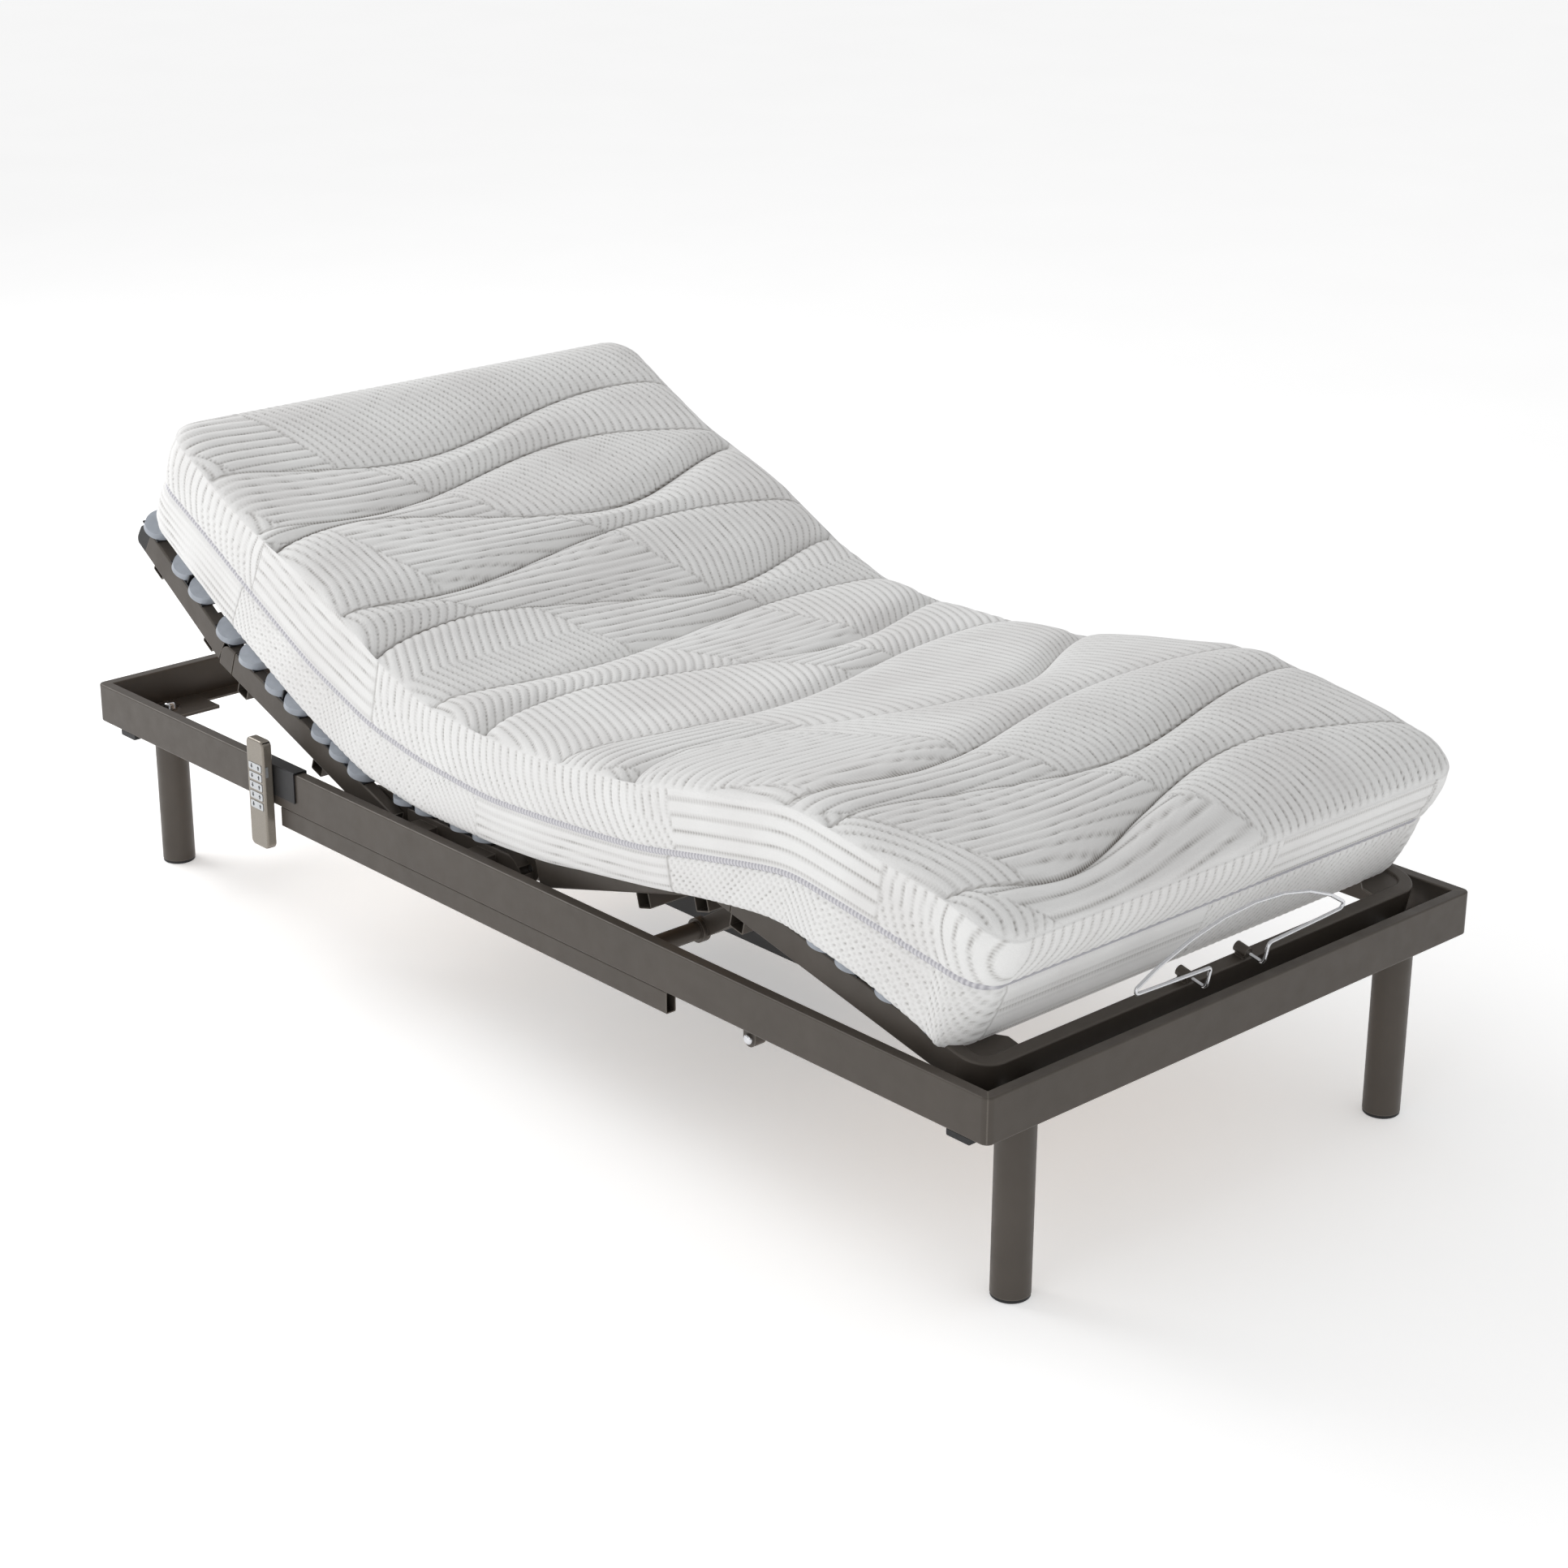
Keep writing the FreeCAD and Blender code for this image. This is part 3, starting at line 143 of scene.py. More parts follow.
# Real sizes of the cover's needlework and how it lies.
CROWN_REACH = 20 * MM
LIP_DEPTH = 2.4 * MM
LIP_REACH = 3.5 * MM
STITCH_LINE = 1.6 * MM
RIB_SWAY = 12 * MM
RIB_TURN = 2 * MM
EDGE_FADE = 6 * MM
UPPER_UPRIGHT_PITCH = 16.5 * MM
UPPER_LEVEL_PITCH = 20.5 * MM
LOWER_UPRIGHT_PITCH = 13 * MM
LOWER_LEVEL_PITCH = 12.5 * MM
BORDER_PINCH = 2.2 * MM
HEM_WIDTH = 5.5 * MM
CORNER_ROWS = 24
UPPER_LEVELS = 26
LOWER_LEVELS = 19
TUCK_DEPTH = 0.75
# Rib directions between two seams: ribs run across the bed from the first x to the second and along
# it elsewhere, with that slant; the last value makes the slant turn back into a chevron.
QUILT_BANDS = (
    (-0.36, 0.00, 0.00, 0),
    (-0.36, -0.04, -0.20, 0),
    (-0.43, -0.13, -0.30, 0),
    (-0.43, -0.19, -0.05, 0),
    (-0.43, -0.20, 0.05, 0),
    (0.05, 0.15, 0.35, 0),
    (-0.04, 0.19, 0.30, 0),
    (-0.12, 0.15, 0.50, 1),
    (-0.27, 0.10, 0.10, 0),
    (-0.30, 0.03, 0.00, 0),
    (-0.43, -0.10, -0.35, 0),
    (-0.43, -0.16, -0.10, 0),
    (-0.43, -0.28, -0.45, 0),
)
# Where the border's ribs run along the bed and not up and down, on each side, above and below the zip.
BORDER_PANELS = {
    "near": (((0.165, 0.520), (1.170, 1.480)), ((0.540, 0.930), (1.500, 1.900))),
    "far": (((0.300, 0.700), (1.100, 1.400)), ((0.100, 0.450), (0.950, 1.300))),
    "foot": (((0.070, 0.370),), ((-0.370, -0.020),)),
    "head": (((-0.300, 0.050),), ((0.000, 0.350),)),
}
# The four lengths of cover: name, the seams they run between, the bodies they join from the foot
# side to the head side, and the CAD blocks they stand for.
COVER_LENGTHS = (
    ("cover_thigh_to_calf", 0, 5, "calf", "thigh", ("mattress_calf", "mattress_thigh")),
    ("cover_seat_to_thigh", 5, 7, "thigh", "frame", ("mattress_seat",)),
    ("cover_back_to_seat", 7, 10, "frame", "back", ("mattress_back",)),
    ("cover_head_to_back", 10, 13, "back", "head", ("mattress_head",)),
)


# ---- sizes and colours a user may change ---------------------------------------
class MattressSizes(bpy.types.PropertyGroup):
    """Sizes of the quilted cover."""

    half_width: bpy.props.FloatProperty(
        name="Half width", description="From the middle line to the border",
        default=round(MATTRESS_HIGH.x, 4) + 0.3 * MM, unit="LENGTH")
    corner: bpy.props.FloatProperty(
        name="Corner radius", description="Radius of the four corners in plan",
        default=50 * MM, unit="LENGTH")
    grid: bpy.props.FloatProperty(
        name="Grid", description="Spacing of the cover's vertices",
        default=3.1 * MM, unit="LENGTH")
    crown: bpy.props.FloatProperty(
        name="Crown", description="How far the top swells above its edge seam",
        default=17 * MM, unit="LENGTH")
    seam_depth: bpy.props.FloatProperty(
        name="Seam depth", description="Depth of the quilting seams",
        default=14 * MM, unit="LENGTH")
    seam_width: bpy.props.FloatProperty(
        name="Seam width", description="How far the pillowing reaches from a quilting seam",
        default=15 * MM, unit="LENGTH")
    rib_height: bpy.props.FloatProperty(
        name="Rib height", description="Height of the knitted ribs on the top",
        default=3.0 * MM, unit="LENGTH")
    rib_pitch: bpy.props.FloatProperty(
        name="Rib pitch", description="From rib to rib on the top",
        default=15 * MM, unit="LENGTH")
    zip_half: bpy.props.FloatProperty(
        name="Zip half width", description="Half the width of the zip's tape",
        default=3.5 * MM, unit="LENGTH")
    clearance: bpy.props.FloatProperty(
        name="Clearance", description="Gap between the cover's underside and the slat caps",
        default=2.0 * MM, unit="LENGTH")


class BedColours(bpy.types.PropertyGroup):
    """Colours as sRGB hex values."""

    powder_coat: bpy.props.StringProperty(
        name="Powder coat", description="Frame and legs", default="514A43")
    # painted highlight: the lighter colour painted along the tubes' rounded edges
    painted_edge_highlight: bpy.props.StringProperty(
        name="Painted edge highlight", description="Lighter colour painted on the tube edges as a highlight", default="8C857C")
    knit: bpy.props.StringProperty(
        name="Knit", description="Mattress cover", default="F2F2F1")
    tape: bpy.props.StringProperty(
        name="Zip tape", description="Zip tape round the border", default="DCDBDF")
    caps: bpy.props.StringProperty(
        name="Slat caps", description="Soft caps on the slat ends", default="AAB0B9")
    casing: bpy.props.StringProperty(
        name="Casing", description="Handset casing", default="8F887E")
    floor: bpy.props.StringProperty(
        name="Floor", description="Studio floor", default="FFFFFF")


class StudioSizes(bpy.types.PropertyGroup):
    """Light and camera."""

    key_power: bpy.props.FloatProperty(
        name="Key light", description="Power of the large softbox", default=64.0, unit="POWER")
    fill_power: bpy.props.FloatProperty(
        name="Fill light", description="Power of the fill beside the camera", default=12.0, unit="POWER")
    sky: bpy.props.FloatProperty(
        name="Sky", description="Strength of the even light all round", default=0.58)
    focal: bpy.props.FloatProperty(
        name="Focal length", description="Camera lens", default=71.96)


# ---- small helpers -------------------------------------------------------------
def linear(hex_colour):
    """An sRGB hex value as linear RGBA."""
    parts = [int(hex_colour[i:i + 2], 16) / 255 for i in (0, 2, 4)]
    values = [c / 12.92 if c <= 0.04045 else ((c + 0.055) / 1.055) ** 2.4 for c in parts]
    return (*values, 1.0)


def add(tree, kind, settings=None, inputs=None, to=None):
    """One node with its settings; an input given as a node or a socket is linked, any other value
    is set, and the node's first output is linked on to a socket if one is given."""
    node = tree.nodes.new(kind)
    for name, value in (settings or {}).items():
        setattr(node, name, value)
    for name, value in (inputs or {}).items():
        if isinstance(value, bpy.types.Node):
            value = value.outputs[0]
        if isinstance(value, bpy.types.NodeSocket):
            tree.links.new(value, node.inputs[name])
        else:
            node.inputs[name].default_value = value
    if to is not None:
        tree.links.new(node.outputs[0], to)
    return node


def principled(name, sockets):
    """A new material whose shader has these values, with its tree and its shader's sockets."""
    material = bpy.data.materials.new(name)
    material.use_nodes = True
    tree = material.node_tree
    tree.nodes.clear()
    shader = add(tree, "ShaderNodeBsdfPrincipled", None, sockets)
    add(tree, "ShaderNodeOutputMaterial", None, {"Surface": shader})
    return material, tree, shader.inputs


def grain(tree, size, detail=2.0, stretch=(1.0, 1.0, 1.0)):
    """A pattern of cloudy lumps of one real size across, in object space."""
    place = add(tree, "ShaderNodeTexCoord").outputs["Object"]
    scaled = add(tree, "ShaderNodeMapping", None, {"Vector": place, "Scale": stretch})
    return add(tree, "ShaderNodeTexNoise", None, {
        "Vector": scaled, "Scale": 1 / size, "Detail": detail, "Roughness": GRAIN_ROUGHNESS})


def dress(node, material):
    """Give a CAD node one material."""
    mesh_slots = frame["nodes"][node].material_slots
    for mesh_slot in mesh_slots:
        mesh_slot.material = material


def nodes_in_slot(slot):
    """CAD nodes whose packed material is this slot."""
    return [name for name, obj in sorted(frame["nodes"].items())
            if obj.data.materials and obj.data.materials[0].name.split(".")[0] == slot]


def new_mesh_object(name, vertices, faces):
    """A mesh object, linked into the scene."""
    mesh = bpy.data.meshes.new(name)
    mesh.from_pydata(vertices, [], faces)
    mesh.update()
    obj = bpy.data.objects.new(name, mesh)
    bpy.context.scene.collection.objects.link(obj)
    return obj


def ease(value, low, high):
    """Smooth step from 0 at low to 1 at high."""
    t = np.clip((value - low) / (high - low), 0, 1)
    return t * t * (3 - 2 * t)


# ---- finishes ------------------------------------------------------------------
def powder_coated_steel(colours):
    """Satin polyester powder coat, baked on: a dark warm grey with fine orange peel, and a painted
    highlight: a lighter colour along the tubes' rounded edges."""
    material, tree, shader = principled("powder_coated_steel", {
        "Metallic": 0.25, "Roughness": 0.42, "Specular IOR Level": 0.5})
    flat = add(tree, "ShaderNodeNewGeometry").outputs["Normal"]
    soft = add(tree, "ShaderNodeBevel", {"samples": 4}, {"Radius": 2.2 * MM})
    facing = add(tree, "ShaderNodeVectorMath", {"operation": "DOT_PRODUCT"}, {0: flat, 1: soft})
    # painted highlight: where the surface rounds over an edge, the coat's colour is mixed towards a lighter
    # grey
    edge = add(tree, "ShaderNodeMapRange", None, {
        "Value": facing.outputs["Value"], "From Min": 0.995, "From Max": 0.86})
    edge_highlight_mask = add(tree, "ShaderNodeMath", {"operation": "MULTIPLY"}, {0: edge, 1: 0.55})
    dark = add(tree, "ShaderNodeMixRGB", None, {
        "Fac": grain(tree, 90 * MM, 3.0), "Color1": linear("47413B"),
        "Color2": linear(colours.powder_coat)})
    add(tree, "ShaderNodeMixRGB", None, {
        "Fac": edge_highlight_mask, "Color1": dark, "Color2": linear(colours.painted_edge_highlight)}, shader["Base Color"])
    add(tree, "ShaderNodeMapRange", None, {
        "Value": grain(tree, 25 * MM, 4.0), "From Min": 0.3, "From Max": 0.7,
        "To Min": 0.38, "To Max": 0.50}, shader["Roughness"])
    # orange peel is about 1.5 mm across on the real coat; drawn at 3 mm so that it shows
    add(tree, "ShaderNodeBump", None, {
        "Height": grain(tree, 3 * MM), "Distance": 0.05 * MM}, shader["Normal"])
    return material


def moulded_black_plastic(name, base, light, roughness):
    """Injection-moulded black plastic with a fine spark-eroded grain that breaks its gloss."""
    material, tree, shader = principled(name, {"Roughness": roughness, "IOR": 1.46})
    cloud = add(tree, "ShaderNodeMapRange", None, {
        "Value": grain(tree, 30 * MM, 4.0), "From Min": 0.3, "From Max": 0.7})
    add(tree, "ShaderNodeMixRGB", None, {
        "Fac": cloud, "Color1": linear(base), "Color2": linear(light)}, shader["Base Color"])
    # mould grain is about 0.3 mm; drawn at 1.2 mm so that it shows
    add(tree, "ShaderNodeBump", None, {
        "Height": grain(tree, 1.2 * MM), "Distance": 0.06 * MM}, shader["Normal"])
    return material


def bright_steel(name, colour, roughness, mark_size, stretch):
    """Plated or turned steel: a mirror or a silky lathe finish, with faint marks along it."""
    material, tree, shader = principled(name, {"Metallic": 1.0})
    marks = grain(tree, mark_size, 3.0, stretch)
    add(tree, "ShaderNodeMixRGB", None, {
        "Fac": marks, "Color1": linear(colour), "Color2": linear("E6E6E8")}, shader["Base Color"])
    add(tree, "ShaderNodeMapRange", None, {
        "Value": marks, "From Min": 0.25, "From Max": 0.75,
        "To Min": roughness * 0.8, "To Max": roughness * 1.3}, shader["Roughness"])
    add(tree, "ShaderNodeBump", None, {"Height": marks, "Distance": 0.02 * MM}, shader["Normal"])
    return material


def cast_aluminium():
    """Die-cast motor housings: pale grey, softly mottled and slightly rough."""
    material, tree, shader = principled("cast_aluminium", {"Metallic": 1.0, "Roughness": 0.45})
    add(tree, "ShaderNodeMixRGB", None, {
        "Fac": grain(tree, 8 * MM, 4.0), "Color1": linear("8E9092"),
        "Color2": linear("B9BBBD")}, shader["Base Color"])
    add(tree, "ShaderNodeBump", None, {
        "Height": grain(tree, 2 * MM), "Distance": 0.1 * MM}, shader["Normal"])
    return material


def machined_nylon():
    """Natural nylon: waxy off-white with faint turning rings."""
    material, tree, shader = principled("machined_nylon", {
        "Roughness": 0.4, "IOR": 1.53, "Subsurface Weight": 0.15, "Subsurface Scale": 0.004})
    rings = grain(tree, 1.5 * MM, 1.0, (4.0, 1.0, 1.0))
    add(tree, "ShaderNodeMixRGB", None, {
        "Fac": rings, "Color1": linear("D4D1C8"), "Color2": linear("E6E3DB")}, shader["Base Color"])
    add(tree, "ShaderNodeBump", None, {"Height": rings, "Distance": 0.04 * MM}, shader["Normal"])
    return material


def laminated_beech():
    """Bent beech laminations under a clear foil: warm tan with long grain and darker pores."""
    material, tree, shader = principled("laminated_beech", {
        "Roughness": 0.38, "IOR": 1.5, "Coat Weight": 0.3, "Coat Roughness": 0.2})
    # beech grain lines are about 1 mm apart; drawn at 2.5 mm
    lines = grain(tree, 2.5 * MM, 3.0, (0.02, 1.0, 1.0))
    flecks = grain(tree, 9 * MM, 2.0, (0.1, 1.0, 1.0))
    share = add(tree, "ShaderNodeMath", {"operation": "MULTIPLY"}, {0: lines, 1: flecks})
    figure = add(tree, "ShaderNodeMapRange", None, {
        "Value": share, "From Min": 0.12, "From Max": 0.42})
    add(tree, "ShaderNodeMixRGB", None, {
        "Fac": figure, "Color1": linear("B98A5A"), "Color2": linear("DDBB8C")}, shader["Base Color"])
    add(tree, "ShaderNodeBump", None, {"Height": lines, "Distance": 0.08 * MM}, shader["Normal"])
    return material


def soft_cap_rubber(colours):
    """Thermoplastic rubber slat caps: matt pale grey blue with a dry, slightly dusty surface."""
    material, tree, shader = principled("soft_cap_rubber", {
        "Roughness": 0.5, "IOR": 1.5, "Sheen Weight": 0.1, "Sheen Roughness": 0.4})
    cloud = add(tree, "ShaderNodeMapRange", None, {
        "Value": grain(tree, 20 * MM, 3.0), "From Min": 0.3, "From Max": 0.7})
    add(tree, "ShaderNodeMixRGB", None, {
        "Fac": cloud, "Color1": linear("999FA8"), "Color2": linear(colours.caps)},
        shader["Base Color"])
    # moulding texture is about 0.5 mm; drawn at 1.5 mm so that it shows
    add(tree, "ShaderNodeBump", None, {
        "Height": grain(tree, 1.5 * MM), "Distance": 0.05 * MM}, shader["Normal"])
    return material


def metallic_casing(colours):
    """Moulded ABS under champagne metallic paint: a pearly, satin warm grey."""
    material, tree, shader = principled("champagne_painted_abs", {
        "Metallic": 0.55, "Roughness": 0.33, "Coat Weight": 0.3, "Coat Roughness": 0.15})
    # the paint's flakes are far finer; drawn at 1 mm
    flake = grain(tree, 1.0 * MM, 1.0)
    pearl = add(tree, "ShaderNodeMapRange", None, {"Value": flake, "From Min": 0.3, "From Max": 0.7})
    add(tree, "ShaderNodeMixRGB", None, {
        "Fac": pearl, "Color1": linear("847D73"), "Color2": linear(colours.casing)},
        shader["Base Color"])
    add(tree, "ShaderNodeBump", None, {"Height": flake, "Distance": 0.01 * MM}, shader["Normal"])
    return material


def silver_key_paint():
    """Silver lacquer on moulded keys: cool, bright and satin."""
    material, tree, shader = principled("silver_lacquered_keys", {
        "Metallic": 0.7, "Roughness": 0.32})
    # the lacquer's flakes are far finer; drawn at 1 mm
    flake = grain(tree, 1.0 * MM, 1.0)
    add(tree, "ShaderNodeMixRGB", None, {
        "Fac": flake, "Color1": linear("A9ACAF"), "Color2": linear("D2D4D6")}, shader["Base Color"])
    add(tree, "ShaderNodeBump", None, {"Height": flake, "Distance": 0.01 * MM}, shader["Normal"])
    return material


def ribbed_knit(colours):
    """Ribbed polyester and viscose knit, quilted to wadding: a soft white with a short fuzz, fine loops,
    and painted shade in the tucks between the ribs, along the seams and in small stitch holes along the
    tucks."""
    material, tree, shader = principled("ribbed_ivory_knit", {
        "Roughness": 0.92, "IOR": 1.45, "Sheen Weight": 0.25, "Sheen Roughness": 0.6,
        "Specular IOR Level": 0.25})
    flat = add(tree, "ShaderNodeAttribute", {"attribute_name": "cover_place"}).outputs["Vector"]
    tuck = add(tree, "ShaderNodeAttribute", {"attribute_name": "tuck"}).outputs["Fac"]
    run = add(tree, "ShaderNodeAttribute", {"attribute_name": "stitch_run"}).outputs["Fac"]
    # knit loops are about 1 mm; drawn at 2.4 mm so that they show
    loops = add(tree, "ShaderNodeTexVoronoi", {"feature": "F1"}, {
        "Vector": flat, "Scale": 1 / (2.4 * MM)})
    # fuzz clumps are about 1 mm; drawn at 5 mm so that they show
    fuzz = add(tree, "ShaderNodeTexNoise", None, {
        "Vector": flat, "Scale": 1 / (5 * MM), "Detail": 4.0, "Roughness": 0.7})
    cloud = add(tree, "ShaderNodeTexNoise", None, {
        "Vector": flat, "Scale": 1 / (160 * MM), "Detail": 2.0})
    # stitches sit 5 mm apart along each tuck
    turn = add(tree, "ShaderNodeMath", {"operation": "MULTIPLY"}, {0: run, 1: 2 * math.pi / (5 * MM)})
    wave = add(tree, "ShaderNodeMath", {"operation": "SINE"}, {0: turn})
    stitch = add(tree, "ShaderNodeMapRange", None, {"Value": wave, "From Min": -0.2, "From Max": 0.7})
    holes = add(tree, "ShaderNodeMath", {"operation": "MULTIPLY"}, {0: stitch, 1: tuck})
    patch = add(tree, "ShaderNodeMapRange", None, {"Value": cloud, "From Min": 0.35, "From Max": 0.65})
    body = add(tree, "ShaderNodeMixRGB", None, {
        "Fac": patch, "Color1": linear("E9E8E7"), "Color2": linear(colours.knit)})
    # painted shade: the knit is darkened towards a warm grey in the tucks, along the quilting seams and in
    # the stitch holes
    tuck_shade = add(tree, "ShaderNodeMath", {"operation": "MULTIPLY"}, {0: tuck, 1: 0.55})
    hole_shade = add(tree, "ShaderNodeMath", {"operation": "MULTIPLY"}, {0: holes, 1: 0.42})
    shade = add(tree, "ShaderNodeMath", {"operation": "ADD"}, {0: tuck_shade, 1: hole_shade})
    add(tree, "ShaderNodeMixRGB", None, {
        "Fac": shade, "Color1": body, "Color2": linear("6F6860")}, shader["Base Color"])
    loop_bump = add(tree, "ShaderNodeBump", None, {"Height": loops, "Distance": 0.25 * MM})
    add(tree, "ShaderNodeBump", None, {
        "Height": fuzz, "Distance": 0.8 * MM, "Normal": loop_bump}, shader["Normal"])
    return material


def woven_zip_tape(colours):
    """Woven polyester zip tape with a fine spiral: pale cool grey with a slight shine."""
    material, tree, shader = principled("woven_zip_tape", {"Roughness": 0.6, "IOR": 1.5})
    flat = add(tree, "ShaderNodeAttribute", {"attribute_name": "cover_place"}).outputs["Vector"]
    # the spiral's turns are 1.5 mm apart; drawn at 3 mm
    turns = add(tree, "ShaderNodeTexWave", {"bands_direction": "Y"}, {
        "Vector": flat, "Scale": 1 / (3 * MM) / 6.28}).outputs["Fac"]
    add(tree, "ShaderNodeMixRGB", None, {
        "Fac": turns, "Color1": linear("B4B3BA"), "Color2": linear(colours.tape)},
        shader["Base Color"])
    add(tree, "ShaderNodeBump", None, {"Height": turns, "Distance": 0.3 * MM}, shader["Normal"])
    return material


def key_print():
    """Pad-printed symbols: flat dark grey ink with slightly uneven cover."""
    material, tree, shader = principled("dark_pad_print", {"Roughness": 0.6})
    add(tree, "ShaderNodeMixRGB", None, {
        "Fac": grain(tree, 2 * MM), "Color1": linear("26282B"), "Color2": linear("3A3D41")},
        shader["Base Color"])
    return material


# ---- the cover's lie -----------------------------------------------------------
def eased(values):
    """Round off the corners of a line sampled every LIE_STEP."""
    window = np.hanning(2 * LIE_EASE + 1)
    padded = np.pad(values, LIE_EASE, mode="reflect", reflect_type="odd")
    return np.convolve(padded, window / window.sum(), mode="valid")


def section_point(section, along, height):
    """World (y, z) of a place on a section's hinge line and a height over it."""
    (y, z), slope = SECTIONS[section]
    return (y + along * math.cos(slope) - height * math.sin(slope),
            z + along * math.sin(slope) + height * math.cos(slope))


class Lie:
    """The zip line's side view, with the normal and the border's heights along it."""

    def __init__(self):
        points = np.array([section_point(*row[:3]) for row in LIE])
        steps = np.hypot(*np.diff(points, axis=0).T)
        stations = np.concatenate(([0.0], np.cumsum(steps)))
        self.length = float(stations[-1])
        self.s = np.arange(0.0, self.length, LIE_STEP)
        self.y, self.z = (eased(np.interp(self.s, stations, points[:, i])) for i in (0, 1))
        self.up, self.down = (eased(np.interp(self.s, stations, [row[i] for row in LIE])) for i in (3, 4))
        run = np.hypot(np.gradient(self.y), np.gradient(self.z))
        self.ty = np.gradient(self.y) / run
        self.tz = np.gradient(self.z) / run
        self.under = self.platform_depth()

    def platform_depth(self):
        """How far below the zip the slat caps' tops are, along the line's normal."""
        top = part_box("seat_slat_holders")[1].z - pivot("back_lift")[1]
        depth = {}
        for name, ((y, z), slope) in SECTIONS.items():
            rise = -(self.y - y) * math.sin(slope) + (self.z - z) * math.cos(slope) - top
            fall = self.tz * math.sin(slope) + self.ty * math.cos(slope)
            depth[name] = rise / fall
        legs = np.maximum(depth["thigh"], depth["calf"])
        rise = np.minimum(np.minimum(depth["seat"], depth["back"]), depth["head"])
        on_legs = self.s < self.length * LEGS_SHARE
        return np.where(on_legs, legs, np.minimum(rise, legs))

    def at(self, values, s):
        """A value of the lie at places along it."""
        return np.interp(s, self.s, values)

    def place(self, x, s, h):
        """World points for x across, s along from the foot end and h off the zip line."""
        over = s - np.clip(s, self.s[0], self.s[-1])
        ty, tz = self.at(self.ty, s), self.at(self.tz, s)
        y = self.at(self.y, s) + over * ty - h * tz
        z = self.at(self.z, s) + over * tz + h * ty
        return np.stack([x, y, z], -1)


def seam_line(k, x, length):
    """Where quilting seam k runs; 0 is the foot end and the last is the head end."""
    if k == 0:
        return np.zeros_like(x)
    if k > len(QUILT_SEAMS):
        return np.full_like(x, length)
    place, swing, shift = QUILT_SEAMS[k - 1]
    return place + swing * np.sin(2 * math.pi * (x - shift) / SEAM_WAVE)


def rib_profile(phase):
    """Rounded rib with a narrow tuck on each side, from 0 in the tuck to 1."""
    return np.abs(np.cos(math.pi * phase)) ** 0.55


